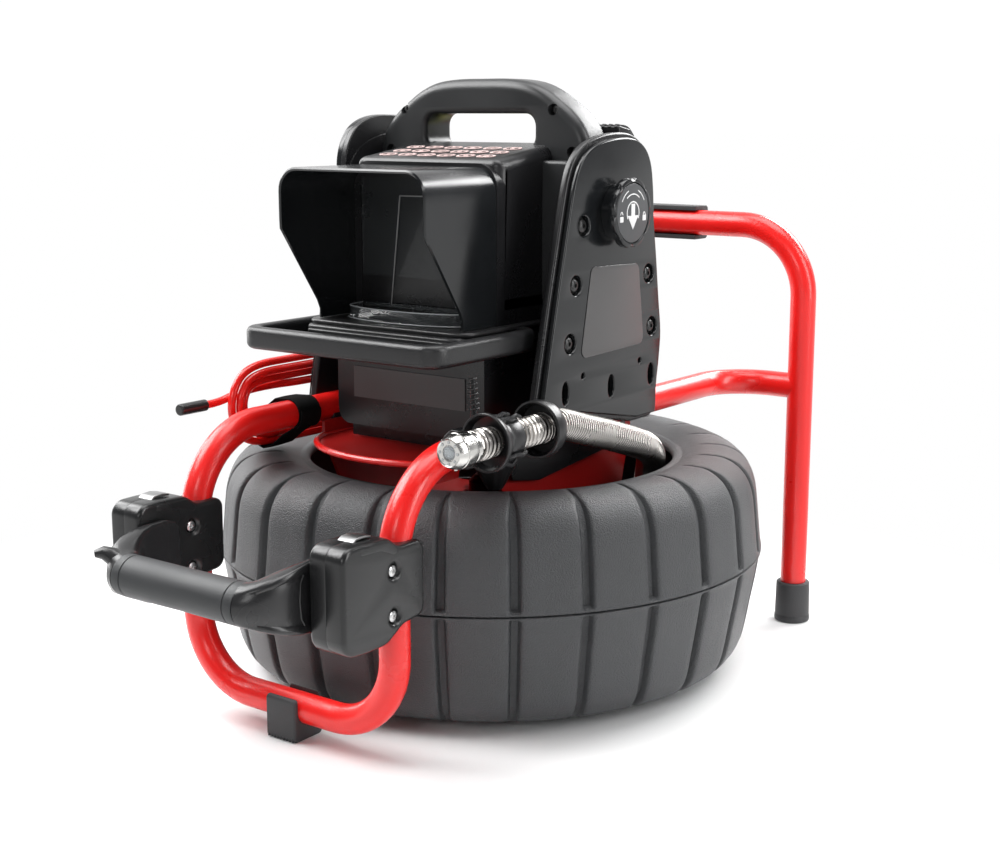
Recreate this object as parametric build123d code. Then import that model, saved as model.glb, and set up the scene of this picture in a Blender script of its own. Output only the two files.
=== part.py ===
"""Drain inspection camera reel lying flat on its feet: a red tube frame carries a
spinning cable drum, a dock with a hooded monitor, a folding carry handle and the camera head.

Millimetres, +Z up, -Y is the front, +X is the right-hand side seen from the front.
While modelling, X = Y = 0 is the drum axis and Z = 0 is the floor; export moves every piece
along Y so that the origin is under the middle of the footprint.
"""
from build123d import *
import math
import os

# ---------------------------------------------------------------- driving dimensions
TUBE_R = 11.0            # frame tube outside radius
TUBE_WALL = 1.6
LOOP_X = 97.5            # half spacing of the two frame arms
LOOP_Y = -240.0          # plane of the front loop
LOOP_Z = 23.0            # bottom run of the front loop
ARM_Z = 212.0            # height of the two arms over the drum
LOOP_FOOT_BEND = 55.0
LOOP_TOP_BEND = 66.0
ARM_REAR_BEND = 45.0
LEG_X = 170.0            # half spacing of the rear legs
LEG_Y = 222.0
BAR_Z = 350.0            # top bar of the rear frame
BAR_BEND = 60.0
FOOT_R = 15.5
FOOT_H = 36.0
FOOT_FLOOR = 6.0         # rubber under the tube end

DRUM_R = 223.5           # drum radius at its seam
SEAM_Z = 98.5
DRUM_BASE_Z = 8.0
DRUM_WALL = 7.0
LIP_R = 149.5            # opening in the drum's top
LIP_Z = 169.0
GROOVES = 26             # finger grooves round each half
GROOVE_PHASE = -7.2      # degrees, centre of one groove
GROOVE_W = 8.0
GROOVE_D = 5.0
HUB_R = 46.0
AXLE_R = 10.0
RUN_GAP = 0.3            # gap between a turning and a fixed piece
FIT_GAP = 0.08           # same, where a shaft turns in a hole

DOCK_X = 117.0           # outer face of the dock's side covers
COVER_T = 5.0
CHEEK_T = 6.5
PLATE_FLOOR_Z = 207.0
KNOB_Y = 3.4
KNOB_Z = 372.0
KNOB_R = 27.0
KNOB_FACE_X = 132.5
KNOB_NECK_R = 22.0

HOOD_HALF = 71.0         # half width of the hood and of the monitor body
HOOD_FRONT_Y = -170.0
HOOD_REAR_Y = -88.0
BODY_REAR_Y = -30.0
HOOD_TOP_Z = 407.5
HOOD_FLOOR_Z = 290.0
HOOD_T = 2.6
RING_HALF = 96.0         # bumper ring of the tray under the hood
RING_FRONT_Y = -192.0
RING_REAR_Y = -62.0
RING_LOW_Z = 271.5
RING_TOP_Z = 288.5
RING_W = 11.0
BASE_HALF = 73.0
BASE_FRONT_Y = -106.0
BASE_REAR_Y = -12.0
BASE_LOW_Z = 204.0
ARCH_FRONT_Y = -12.0
ARCH_REAR_Y = 20.0
ARCH_TOP_Z = 473.0

BLOCK_IN_X = 82.0        # inner and outer faces of the handle blocks
BLOCK_OUT_X = 113.0
BLOCK_FRONT_Y = -308.0
BLOCK_REAR_Y = -225.0
BLOCK_LOW_Z = 95.0
BLOCK_TOP_Z = 175.0
PIVOT_Y = -288.0
PIVOT_Z = 135.0
PIVOT_R = 5.0
GRIP_Y = -340.0
GRIP_R = 14.8
GRIP_HALF = 58.0

HEAD_R = 12.5            # camera head
LEAD_X = 135.0           # line of the camera head and springs beside the right arm
HEAD_Z = 225.5
HEAD_FRONT_Y = -227.0

GUIDE_R = 19.0           # two guide rings that hold the springs
RING_T = 13.0
RING_FRONT = -187.0
RING_REAR = -128.0
SPRING_Y = RING_REAR + RING_T

CORD_R = 3.0             # red system cable
HANK_X = -128.5
HANK_T = 9.0
HANK_W = 26.0

FOOTPRINT_FRONT = GRIP_Y - GRIP_R
FOOTPRINT_REAR = LEG_Y + FOOT_R
AXIS_Y = -(FOOTPRINT_FRONT + FOOTPRINT_REAR) / 2     # drum axis in the part's own frame

PARTS = {}


def keep(name, *shapes):
    """Store a sub-part; several shapes become a group of separate solids."""
    solids = [solid for shape in shapes for solid in shape.solids()]
    PARTS[name] = solids[0] if len(solids) == 1 else Compound(children=solids)


def rod(radius, start, end):
    """A round bar between two points."""
    line = Vector(*end) - Vector(*start)
    plane = Plane(origin=start, z_dir=line)
    return Solid.make_cylinder(radius, line.length, plane)


def block(x0, x1, y0, y1, z0, z1):
    """An upright box from its six faces."""
    return Pos(x0, y0, z0) * Box(x1 - x0, y1 - y0, z1 - z0, align=(Align.MIN,) * 3)


def soften(shape, radius, edges=None):
    """Round edges, smaller or not at all where the full radius cannot be made."""
    picked = shape.edges() if edges is None else edges
    for size in (radius, radius * 0.6, radius * 0.3):
        try:
            rounded = fillet(picked, size)
            if rounded.is_valid and rounded.volume > 0:
                return rounded
        except Exception:
            continue
    return shape


def plate(outline, x0, x1):
    """A plate across X from an outline of (y, z) points."""
    face = make_face(Plane.YZ * Polyline(*outline, close=True))
    return Pos(x0, 0, 0) * extrude(face, x1 - x0, dir=(1, 0, 0))


def ring_band(x0, x1, y0, y1, corner, width, z0, z1):
    """A flat rounded-rectangle band."""
    middle = Pos((x0 + x1) / 2, (y0 + y1) / 2, z0)
    outer = RectangleRounded(x1 - x0, y1 - y0, corner)
    inner = RectangleRounded(x1 - x0 - 2 * width, y1 - y0 - 2 * width, max(corner - width, 2))
    return middle * extrude(outer - inner, z1 - z0)


# ---------------------------------------------------------------- tube frame
def tube_along(points, radii, wall=TUBE_WALL):
    path = FilletPolyline(*points, radius=radii)
    start = Plane(origin=path @ 0, z_dir=path % 0)
    section = Circle(TUBE_R) - Circle(TUBE_R - wall) if wall else Circle(TUBE_R)
    return sweep(start * section, path)


def arm_core(side):
    """The solid outline of one arm, from the front loop's upright to the rear: what clips fit round."""
    points = [(side * LOOP_X, LOOP_Y, 60), (side * LOOP_X, LOOP_Y, ARM_Z), (side * LOOP_X, 60, ARM_Z)]
    return tube_along(points, [LOOP_TOP_BEND], wall=0)


def front_loop():
    corners = [(LEG_X, LEG_Y, ARM_Z), (LOOP_X, LEG_Y, ARM_Z), (LOOP_X, LOOP_Y, ARM_Z),
               (LOOP_X, LOOP_Y, LOOP_Z)]
    points = corners + [(-x, y, z) for x, y, z in reversed(corners)]
    bends = [ARM_REAR_BEND, LOOP_TOP_BEND, LOOP_FOOT_BEND]
    tube = tube_along(points, bends + bends[::-1])
    for side in (-1, 1):
        tube -= rod(TUBE_R, (side * LEG_X, LEG_Y, ARM_Z - 40), (side * LEG_X, LEG_Y, ARM_Z + 40))
    keep("front_loop_tube", tube)


def rear_frame():
    foot_z = FOOT_FLOOR
    points = [(-LEG_X, LEG_Y, foot_z), (-LEG_X, LEG_Y, BAR_Z), (LEG_X, LEG_Y, BAR_Z), (LEG_X, LEG_Y, foot_z)]
    keep("rear_frame_tube", tube_along(points, [BAR_BEND] * 2))
    feet = []
    for side in (-1, 1):
        body = Pos(side * LEG_X, LEG_Y, 0) * Cone(FOOT_R, FOOT_R - 1.0, FOOT_H, align=(Align.CENTER,) * 2 + (Align.MIN,))
        body = soften(body, 2.0, body.edges().filter_by(GeomType.CIRCLE))
        feet.append(body - rod(TUBE_R, (side * LEG_X, LEG_Y, FOOT_FLOOR), (side * LEG_X, LEG_Y, FOOT_H + 5)))
    keep("rear_feet", *feet)


def front_foot():
    half, wall = 14.5, 3.5
    top = LOOP_Z + 11.0
    shell = block(-half, half, LOOP_Y - TUBE_R - wall, LOOP_Y + TUBE_R + wall, 0, top)
    shell = soften(shell, 2.0, shell.edges().filter_by(Axis.X).group_by(Axis.Z)[0])
    shell -= rod(TUBE_R, (-half - 5, LOOP_Y, LOOP_Z), (half + 5, LOOP_Y, LOOP_Z))
    shell -= block(-half - 5, half + 5, LOOP_Y - TUBE_R, LOOP_Y + TUBE_R, LOOP_Z, top + 5)
    keep("front_foot_clip", shell)


# ---------------------------------------------------------------- drum
def drum_profile_upper(inset):
    """Half section (r, z) of the upper shell, moved inwards by inset."""
    r, z = -inset, -inset
    return [(DRUM_R + r, SEAM_Z), (218.0 + r, 150.0), (213.0 + r, 164.0 + z), (204.0 + r, 173.5 + z),
            (191.0 + r, 178.5 + z), (172.0, 178.0 + z), (156.0, 172.5 + z)]


def drum_profile_lower(inset):
    r, z = -inset, inset
    return [(DRUM_R + r, SEAM_Z), (213.5 + r, 40.0), (209.0 + r, 22.0 + z), (200.0 + r, 11.5 + z),
            (190.0 + r, DRUM_BASE_Z + z)]


def spun(points):
    face = make_face(Plane.XZ * Polyline(*points, close=True))
    return revolve(face, Axis.Z)


def groove_cutters(upper):
    """Radial slots that run up the wall and fade out over the shoulder."""
    cutters = []
    for i in range(GROOVES):
        angle = GROOVE_PHASE + i * 360.0 / GROOVES
        if upper:
            path = [(DRUM_R + 8, SEAM_Z + 3), (DRUM_R - GROOVE_D - 0.2, SEAM_Z + 3), (213.0, 148.0),
                    (206.5, 161.5), (199.0, 169.0), (188.0, 173.6), (170.0, 178.6), (170.0, 190.0), (DRUM_R + 8, 190.0)]
        else:
            path = [(DRUM_R + 8, SEAM_Z - 3), (DRUM_R - GROOVE_D - 0.2, SEAM_Z - 3), (208.7, 40.0),
                    (204.5, 25.0), (195.0, 14.0), (188.0, 7.0), (188.0, 0.0), (DRUM_R + 8, 0.0)]
        face = make_face(Plane.XZ * Polyline(*path, close=True))
        cutter = Pos(0, GROOVE_W / 2, 0) * extrude(face, GROOVE_W, dir=(0, -1, 0))
        cutters.append(Rot(0, 0, angle) * cutter)
    return cutters


def drum():
    outer = drum_profile_upper(0)
    inner = drum_profile_upper(DRUM_WALL)
    upper = spun(outer + [(151.5, LIP_Z + 2.0), (LIP_R, LIP_Z), (LIP_R, LIP_Z - 5.0), (153.5, LIP_Z - 5.0)]
                 + inner[::-1])
    for cutter in groove_cutters(True):
        upper -= cutter
    keep("drum_upper_shell", upper)
    outer = drum_profile_lower(0)
    inner = drum_profile_lower(DRUM_WALL)
    floor_r = HUB_R - 6
    lower = spun(outer + [(floor_r, DRUM_BASE_Z), (floor_r, DRUM_BASE_Z + DRUM_WALL)] + inner[::-1])
    for cutter in groove_cutters(False):
        lower -= cutter
    keep("drum_lower_shell", lower)
    hub = spun([(AXLE_R + 8, DRUM_BASE_Z), (floor_r, DRUM_BASE_Z), (floor_r, DRUM_BASE_Z + DRUM_WALL),
                (HUB_R, DRUM_BASE_Z + DRUM_WALL), (HUB_R, 60.0), (HUB_R - 5, 96.0), (AXLE_R + 8, 96.0)])
    keep("drum_hub", hub)
    inner = AXLE_R + FIT_GAP
    keep("drum_bearings", *[spun([(inner, z), (AXLE_R + 7.98, z), (AXLE_R + 7.98, z + 9), (inner, z + 9)]) for z in (14.0, 80.0)])
    coil = Pos(0, 0, 54.0) * (Cylinder(196, 70) - Cylinder(138, 80))
    keep("push_cable_coil", soften(coil, 8.0, coil.edges().filter_by(GeomType.CIRCLE)))


def axle_and_bracket():
    sheet = 3.0
    side_x = LOOP_X - TUBE_R - 0.4
    floor_z, deck_z = 122.0, 190.0
    side = [(-112, deck_z), (-78, floor_z), (60, floor_z), (78, deck_z), (78, 204), (-112, 204)]
    bracket = plate(side, side_x - sheet, side_x) + plate(side, -side_x, -side_x + sheet)
    bracket += block(-side_x + sheet - 0.1, side_x - sheet + 0.1, -78, 60, floor_z, floor_z + sheet)
    edge = [(-side_x + sheet, 78), (side_x - sheet, 78), (side_x - sheet, -112)]
    arc = ThreePointArc((side_x - sheet, -112), (0, -163), (-side_x + sheet, -112))
    outline = Wire([Line(edge[0], edge[1]), Line(edge[1], edge[2]), arc, Line((-side_x + sheet, -112), edge[0])])
    deck = Pos(0, 0, deck_z) * extrude(make_face(outline), sheet)
    deck -= block(-48, 48, -60, 40, deck_z - 1, deck_z + sheet + 1)
    bracket += deck
    bracket -= rod(AXLE_R, (0, 0, floor_z - 5), (0, 0, floor_z + 10))
    keep("hub_bracket", bracket)
    keep("axle", rod(AXLE_R, (0, 0, 10.0), (0, 0, 132.0)))
    nut = Pos(0, 0, 125.0) * extrude(RegularPolygon(17, 6) - Circle(AXLE_R), 7.0)
    dome = spun([(0, 132.0), (24, 132.0), (24, 136.0), (19, 138.0), (19, 146.0), (14, 151.0), (7, 153.5), (0, 154.0)])
    keep("slip_ring_cap", dome)
    bolts = []
    for x in (-52, 52):
        for y in (-58, 46):
            bolts.append(Pos(x, y, floor_z + sheet) * extrude(RegularPolygon(6.2, 6), 5.0))
    keep("bracket_fasteners", nut, *bolts)


# ---------------------------------------------------------------- handle blocks and carry handle
def block_outline():
    """Side view (y, z) of a handle block."""
    front, rear, low, top = BLOCK_FRONT_Y, BLOCK_REAR_Y, BLOCK_LOW_Z, BLOCK_TOP_Z
    return [(front, low + 22), (front + 5, low + 7), (front + 18, low), (front + 48, low + 1), (rear - 22, low + 9),
            (rear, low + 14), (rear, top - 14), (rear - 4, top - 10), (rear - 26, top - 8), (front + 40, top - 1),
            (front + 20, top), (front + 6, top - 7), (front, top - 22)]


def handle_blocks():
    screws, tabs = [], []
    split = LOOP_X
    screw_spots = [(LOOP_Y - 17.0, PIVOT_Z + 12.5), (LOOP_Y - 17.0, PIVOT_Z - 19.0)]
    for side, word in ((-1, "left"), (1, "right")):
        bore = arm_core(side)
        pin_hole = rod(PIVOT_R + FIT_GAP, (side * (BLOCK_IN_X - 5), PIVOT_Y, PIVOT_Z), (side * (BLOCK_OUT_X - 6), PIVOT_Y, PIVOT_Z))
        face_x = side * BLOCK_OUT_X if side > 0 else -BLOCK_IN_X
        heads = [rod(4.4, (face_x - 3.5, y, z), (face_x + 1, y, z)) for y, z in screw_spots]
        tab_y = BLOCK_FRONT_Y + 28
        slots = [block(side * LOOP_X - 8, side * LOOP_X + 8, tab_y - 5, tab_y + 5, z - 2, z + 2)
                 for z in (BLOCK_TOP_Z - 1, BLOCK_LOW_Z + 1)]
        for half, x0, x1 in (("inner", BLOCK_IN_X, split), ("outer", split, BLOCK_OUT_X)):
            low, high = sorted((side * x0, side * x1))
            shell = plate(block_outline(), low, high)
            outer_face = shell.faces().sort_by(Axis.X)[0 if side * (1 if half == "outer" else -1) < 0 else -1]
            shell = soften(shell, 4.0, outer_face.edges())
            for cutter in [bore, pin_hole] + heads + slots:
                shell -= cutter
            keep(f"{word}_block_{half}", shell)
        for y, z in screw_spots:
            head = rod(4.4, (face_x - 3.5, y, z), (face_x - 0.8, y, z))
            for turn in (0, 90):
                cross = Rot(turn, 0, 0) * Box(2.4, 5.0, 1.0)
                head -= Pos(face_x - 0.8, y, z) * cross
            screws.append(head)
        for z, sign in ((BLOCK_TOP_Z - 1, 1), (BLOCK_LOW_Z + 1, -1)):
            tab = block(side * LOOP_X - 7.9, side * LOOP_X + 7.9, tab_y - 4.9, tab_y + 4.9, z - 1.9, z + 1.9)
            tabs.append(Pos(0, 0, sign * 0.8) * tab if sign > 0 else tab)
    keep("block_screws", *screws)
    keep("latch_tabs", *tabs)


def carry_handle():
    grip = rod(GRIP_R, (-GRIP_HALF, GRIP_Y, PIVOT_Z), (GRIP_HALF, GRIP_Y, PIVOT_Z))
    keep("carry_grip", grip)
    for side, word in ((-1, "left"), (1, "right")):
        end_x = side * GRIP_HALF
        paddle_x = side * (BLOCK_IN_X - 1.0)
        start = Plane(origin=(end_x, GRIP_Y, PIVOT_Z), x_dir=(0, 1, 0), z_dir=(side, 0, 0))
        knee = Plane(origin=(side * 70, GRIP_Y + 9, PIVOT_Z), x_dir=(-side * 0.6, 0.8, 0), z_dir=(side * 0.8, 0.6, 0))
        last = Plane(origin=(side * 77.5, PIVOT_Y - 18, PIVOT_Z), x_dir=(-side, 0, 0), z_dir=(0, 1, 0))
        arm = loft([start * Circle(GRIP_R), knee * Ellipse(13.0, 17.5), last * RectangleRounded(6.8, 50, 2.5)])
        paddle = plate([(PIVOT_Y - 18, PIVOT_Z - 25), (PIVOT_Y + 2, PIVOT_Z - 25), (PIVOT_Y + 12, PIVOT_Z - 14),
                        (PIVOT_Y + 12, PIVOT_Z + 14), (PIVOT_Y + 2, PIVOT_Z + 25), (PIVOT_Y - 18, PIVOT_Z + 25)],
                       *sorted((side * 74.1, paddle_x)))
        pin = rod(PIVOT_R, (side * 76, PIVOT_Y, PIVOT_Z), (side * (BLOCK_OUT_X - 8), PIVOT_Y, PIVOT_Z))
        clear = rod(54, (side * 81.3, PIVOT_Y, PIVOT_Z), (side * 120, PIVOT_Y, PIVOT_Z))
        keep(f"handle_arm_{word}", (arm + paddle - clear) + pin)


# ---------------------------------------------------------------- dock
def cover_outline(shrink=0.0):
    """Side view (y, z) of the dock's side cover: tall rounded head, flared foot."""
    s = shrink
    arc = []
    for degrees in range(150, -1, -15):
        a = math.radians(degrees)
        arc.append((KNOB_Y + (54.0 - s) * math.cos(a), KNOB_Z + 4.0 + (57.0 - s) * math.sin(a)))
    rear = [(68.0 - s, 315.0), (74.0 - s, 272.0), (69.0 - s, 228.0), (67.0 - s, PLATE_FLOOR_Z + 2 + s),
            (38.0, PLATE_FLOOR_Z + s)]
    front = [(-48.0, 225.0 + s), (-62.0, 214.0 + s), (-93.0 + s, 212.0 + s), (-88.0 + s, 249.0), (-74.0 + s, 313.0),
             (-64.0 + s, 363.0), (-53.5 + s, 391.0)]
    return arc + rear + front


def dock():
    spots = [(-40.0, 363.8), (-50.0, 320.2), (-57.3, 277.0), (53.0, 321.4), (59.0, 278.6)]
    slots = [((-63.0, 236.5), 7.0), ((0.0, 234.0), 6.5), ((59.0, 234.0), 7.0)]
    screws = []
    for side, word in ((-1, "left"), (1, "right")):
        outer, inner = side * DOCK_X, side * (DOCK_X - COVER_T)
        cover = plate(cover_outline(), *sorted((outer, inner)))
        face = cover.faces().sort_by(Axis.X)[-1 if side > 0 else 0]
        cover = soften(cover, 1.6, face.edges())
        cheek_x = side * (DOCK_X - COVER_T - CHEEK_T)
        cheek = plate(cover_outline(-4.0), *sorted((cheek_x, inner)))
        if side < 0:
            ear = [(-57, 392), (-56.5, 424), (-46, 429.5), (-27, 446), (0, 449), (34, 444), (56, 424), (60, 392)]
            cover += plate(ear, *sorted((outer, inner)))
            cheek += plate(ear, *sorted((cheek_x, inner)))
        cheek -= block(-140, 140, -140, 120, 150, PLATE_FLOOR_Z + 17.5)
        for y, z in spots:
            cover -= rod(7.5, (outer - side * 2.6, y, z), (outer + side, y, z))
            screws.append(rod(4.6, (outer - side * 2.55, y, z), (outer - side * 0.4, y, z)))
        for (y, z), radius in slots:
            hole = Plane(origin=(inner - side, y, z), x_dir=(0, 1, 0), z_dir=(side, 0, 0))
            cover -= extrude(hole * SlotOverall(radius * 2.5, radius * 1.15, rotation=80), 8)
        if side > 0:
            hole = rod(KNOB_NECK_R * 0.5 + FIT_GAP, (cheek_x - 2, KNOB_Y, KNOB_Z), (outer + 2, KNOB_Y, KNOB_Z))
            cover -= hole
            cheek -= hole
        keep(f"dock_{word}_cover", cover)
        keep(f"dock_{word}_cheek", cheek)
    keep("dock_cover_screws", *screws)
    cheek_in = DOCK_X - COVER_T - CHEEK_T
    back = plate([(24, 444), (40, 441), (55, 425), (61, 397), (64, 372), (74, 300), (74, 226), (66, 226), (66, 300),
                  (56, 372), (51, 392), (46, 415), (35, 430), (24, 435)], -cheek_in, cheek_in)
    back -= block(-62, 62, 20, 80, 419.0, 450.0)
    keep("dock_back_panel", back)
    seat = block(-cheek_in, cheek_in, -56, 65.5, 224.5, 227.5)
    seat -= block(-BASE_HALF - 1, BASE_HALF + 1, -140, BASE_REAR_Y + 1, 220, 240)
    ledge = block(-BASE_HALF + 6, BASE_HALF - 6, -96, BASE_REAR_Y - 6, 193.0, BASE_LOW_Z - 0.3)
    keep("dock_seat", seat, ledge)
    label = [(-30.0, 332.7), (36.4, 330.6), (45.7, 266.4), (-43.8, 264.1)]
    keep("dock_side_labels", *[soften(plate(label, *sorted((s * DOCK_X, s * (DOCK_X + 0.6)))), 0.2, None) for s in (-1, 1)])


def rear_bar_pad():
    """A channel pressed over the rear bar from behind, which the reel stands on when it is upright."""
    half, wall, reach = 66.0, 3.8, 8.0
    outer = TUBE_R + wall
    pad = block(-half, half, LEG_Y - reach, LEG_Y + outer, BAR_Z - outer, BAR_Z + outer)
    pad = soften(pad, 2.5, pad.edges().filter_by(Axis.X).group_by(Axis.Y)[-1])
    pad -= rod(TUBE_R, (-half - 5, LEG_Y, BAR_Z), (half + 5, LEG_Y, BAR_Z))
    pad -= block(-half - 5, half + 5, LEG_Y - reach - 5, LEG_Y, BAR_Z - TUBE_R, BAR_Z + TUBE_R)
    keep("rear_bar_pad", pad)


def lock_knob():
    neck = rod(KNOB_NECK_R, (DOCK_X + RUN_GAP, KNOB_Y, KNOB_Z), (DOCK_X + 8.5, KNOB_Y, KNOB_Z))
    cap = rod(KNOB_R, (DOCK_X + 8, KNOB_Y, KNOB_Z), (KNOB_FACE_X, KNOB_Y, KNOB_Z))
    for i in range(8):
        a = math.radians(22.5 + 45 * i)
        y, z = KNOB_Y + (KNOB_R + 5.5) * math.cos(a), KNOB_Z + (KNOB_R + 5.5) * math.sin(a)
        cap -= rod(8.0, (DOCK_X + 5, y, z), (KNOB_FACE_X + 5, y, z))
    recess = rod(KNOB_R - 4.5, (KNOB_FACE_X - 1.2, KNOB_Y, KNOB_Z), (KNOB_FACE_X + 1, KNOB_Y, KNOB_Z))
    shaft = rod(KNOB_NECK_R * 0.5, (DOCK_X - COVER_T - CHEEK_T + 1, KNOB_Y, KNOB_Z), (DOCK_X + 2, KNOB_Y, KNOB_Z))
    keep("lock_knob", neck + cap + shaft - recess)
    keep("lock_knob_dial", rod(KNOB_R - 4.7, (KNOB_FACE_X - 1.2, KNOB_Y, KNOB_Z), (KNOB_FACE_X - 0.3, KNOB_Y, KNOB_Z)))


# ---------------------------------------------------------------- monitor
def monitor():
    half, corner = HOOD_HALF, 18.0
    section = Pos(0, 0) * (RectangleRounded(2 * half, HOOD_TOP_Z - HOOD_FLOOR_Z + 60, corner)
                           - RectangleRounded(2 * half - 2 * HOOD_T, HOOD_TOP_Z - HOOD_FLOOR_Z + 60 - 2 * HOOD_T, corner - HOOD_T))
    plane = Plane(origin=(0, HOOD_REAR_Y, (HOOD_TOP_Z + HOOD_FLOOR_Z - 60) / 2), x_dir=(1, 0, 0), z_dir=(0, -1, 0))
    hood = extrude(plane * section, HOOD_REAR_Y - HOOD_FRONT_Y)
    hood -= block(-90, 90, -200, -60, 180, HOOD_FLOOR_Z)
    hood -= plate([(-175, 360), (HOOD_FRONT_Y, 360), (-128, 299), (-127, HOOD_FLOOR_Z - 1), (-175, HOOD_FLOOR_Z - 1)], -90, 90)
    keep("sun_hood", hood)
    top = HOOD_TOP_Z + 2.5
    plane = Plane(origin=(0, BODY_REAR_Y, (top + HOOD_FLOOR_Z - 60) / 2), x_dir=(1, 0, 0), z_dir=(0, -1, 0))
    body = extrude(plane * RectangleRounded(2 * half + 1, top - HOOD_FLOOR_Z + 60, corner), BODY_REAR_Y - HOOD_REAR_Y)
    body -= block(-90, 90, -200, 20, 180, HOOD_FLOOR_Z)
    body -= block(-half + 9, half - 9, HOOD_REAR_Y - 1, HOOD_REAR_Y + 8, HOOD_FLOOR_Z + 6, top - 12)
    body -= block(-half + 10, half - 10, HOOD_REAR_Y + 12, BODY_REAR_Y + 1, top - 3.0, top + 1)
    keep("monitor_body", body)
    keep("screen_frame", ring_panel(half - 9.2, half - 17, HOOD_REAR_Y + 4, HOOD_REAR_Y + 8, HOOD_FLOOR_Z + 6.2, top - 12.2, 8))
    keep("screen_panel", block(-half + 17.2, half - 17.2, HOOD_REAR_Y + 5.5, HOOD_REAR_Y + 8, HOOD_FLOOR_Z + 14.4, top - 20.4))
    keep("screen_glass", block(-half + 9.3, half - 9.3, HOOD_REAR_Y + 1, HOOD_REAR_Y + 3.8, HOOD_FLOOR_Z + 6.3, top - 12.3))
    keep("keypad_panel", block(-half + 10.2, half - 10.2, HOOD_REAR_Y + 12.2, BODY_REAR_Y - 0.2, top - 3.0, top - 0.8))
    keys = []
    for row in range(3):
        for column in range(6):
            spot = Pos(-48 + 19.2 * column, HOOD_REAR_Y + 21 + 13.5 * row, top - 0.8)
            keys.append(spot * extrude(SlotOverall(14, 8), 0.8))
    keep("keypad_keys", *keys)
    rear = housing_outline()
    case = make_face(Plane.XZ * Polyline(*rear, close=True))
    case = Pos(0, ARCH_REAR_Y, 0) * extrude(case, ARCH_REAR_Y - BODY_REAR_Y, dir=(0, -1, 0))
    opening = Plane(origin=(0, ARCH_REAR_Y + 1, 433), x_dir=(1, 0, 0), z_dir=(0, -1, 0))
    case -= extrude(opening * RectangleRounded(112, 26, 11), ARCH_REAR_Y - BODY_REAR_Y + 2)
    case -= block(-110, 110, BODY_REAR_Y - 1, ARCH_FRONT_Y, 412, 480)
    case = soften(case, 6.0, case.edges().filter_by(lambda e: e.center().Z > 452))
    spots = [(-88, 424), (88, 424), (-72, 455), (72, 455)]
    for x, z in spots:
        case -= rod(3.6, (x, ARCH_FRONT_Y - 1, z), (x, ARCH_FRONT_Y + 5, z))
    keep("monitor_rear_case", case)
    keep("rear_case_screws", *[rod(3.4, (x, ARCH_FRONT_Y + 2.5, z), (x, ARCH_FRONT_Y + 5, z)) for x, z in spots])
    keep("tray_ring", soften_ring())
    tray = block(-RING_HALF + RING_W + 0.2, RING_HALF - RING_W - 0.2, RING_FRONT_Y + RING_W + 0.2, RING_REAR_Y - 0.2,
                 RING_LOW_Z + 2, RING_LOW_Z + 5)
    tray = soften(tray, 6.0, tray.edges().filter_by(Axis.Z).group_by(Axis.Y)[0])
    step = block(-HOOD_HALF - 4, HOOD_HALF + 4, -142, BODY_REAR_Y - 0.1, RING_LOW_Z + 5, HOOD_FLOOR_Z)
    keep("tray_floor", tray + step)
    base = block(-BASE_HALF, BASE_HALF, BASE_FRONT_Y, BASE_REAR_Y, BASE_LOW_Z, RING_LOW_Z + 2)
    base = soften(base, 12.0, base.edges().filter_by(Axis.Y).group_by(Axis.Z)[0])
    link = block(-BASE_HALF, BASE_HALF, BODY_REAR_Y, BASE_REAR_Y, RING_LOW_Z + 2, 300)
    base += link - case
    keep("monitor_base", base)
    keep("base_label", block(-55.5, 55.5, BASE_FRONT_Y - 0.8, BASE_FRONT_Y, 226.5, 251.0))


def ring_panel(outer_half, inner_half, y0, y1, z0, z1, border):
    return block(-outer_half, outer_half, y0, y1, z0, z1) - block(-inner_half, inner_half, y0 - 1, y1 + 1, z0 + border, z1 - border)


def housing_outline():
    """Front view (x, z) of the rear housing with the arched carry handle on top."""
    half = [(0, ARCH_TOP_Z), (40, ARCH_TOP_Z - 0.5), (62, ARCH_TOP_Z - 5), (78, ARCH_TOP_Z - 14), (90, ARCH_TOP_Z - 28),
            (99, ARCH_TOP_Z - 44), (103, ARCH_TOP_Z - 60), (104, 380), (104, 320), (97, 302), (-97, 302), (-104, 320)]
    mirrored = [(-x, z) for x, z in half[1:8]]
    return half + mirrored[::-1]


def soften_ring():
    band = ring_band(-RING_HALF, RING_HALF, RING_FRONT_Y, RING_REAR_Y, 16, RING_W, RING_LOW_Z, RING_TOP_Z)
    band = soften(band, 3.5, band.edges().group_by(Axis.Z)[0] + band.edges().group_by(Axis.Z)[-1])
    inside = RING_HALF - RING_W
    return band - block(-inside, inside, RING_REAR_Y - RING_W - 10, RING_REAR_Y + 5, RING_LOW_Z - 1, RING_TOP_Z + 1)


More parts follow.
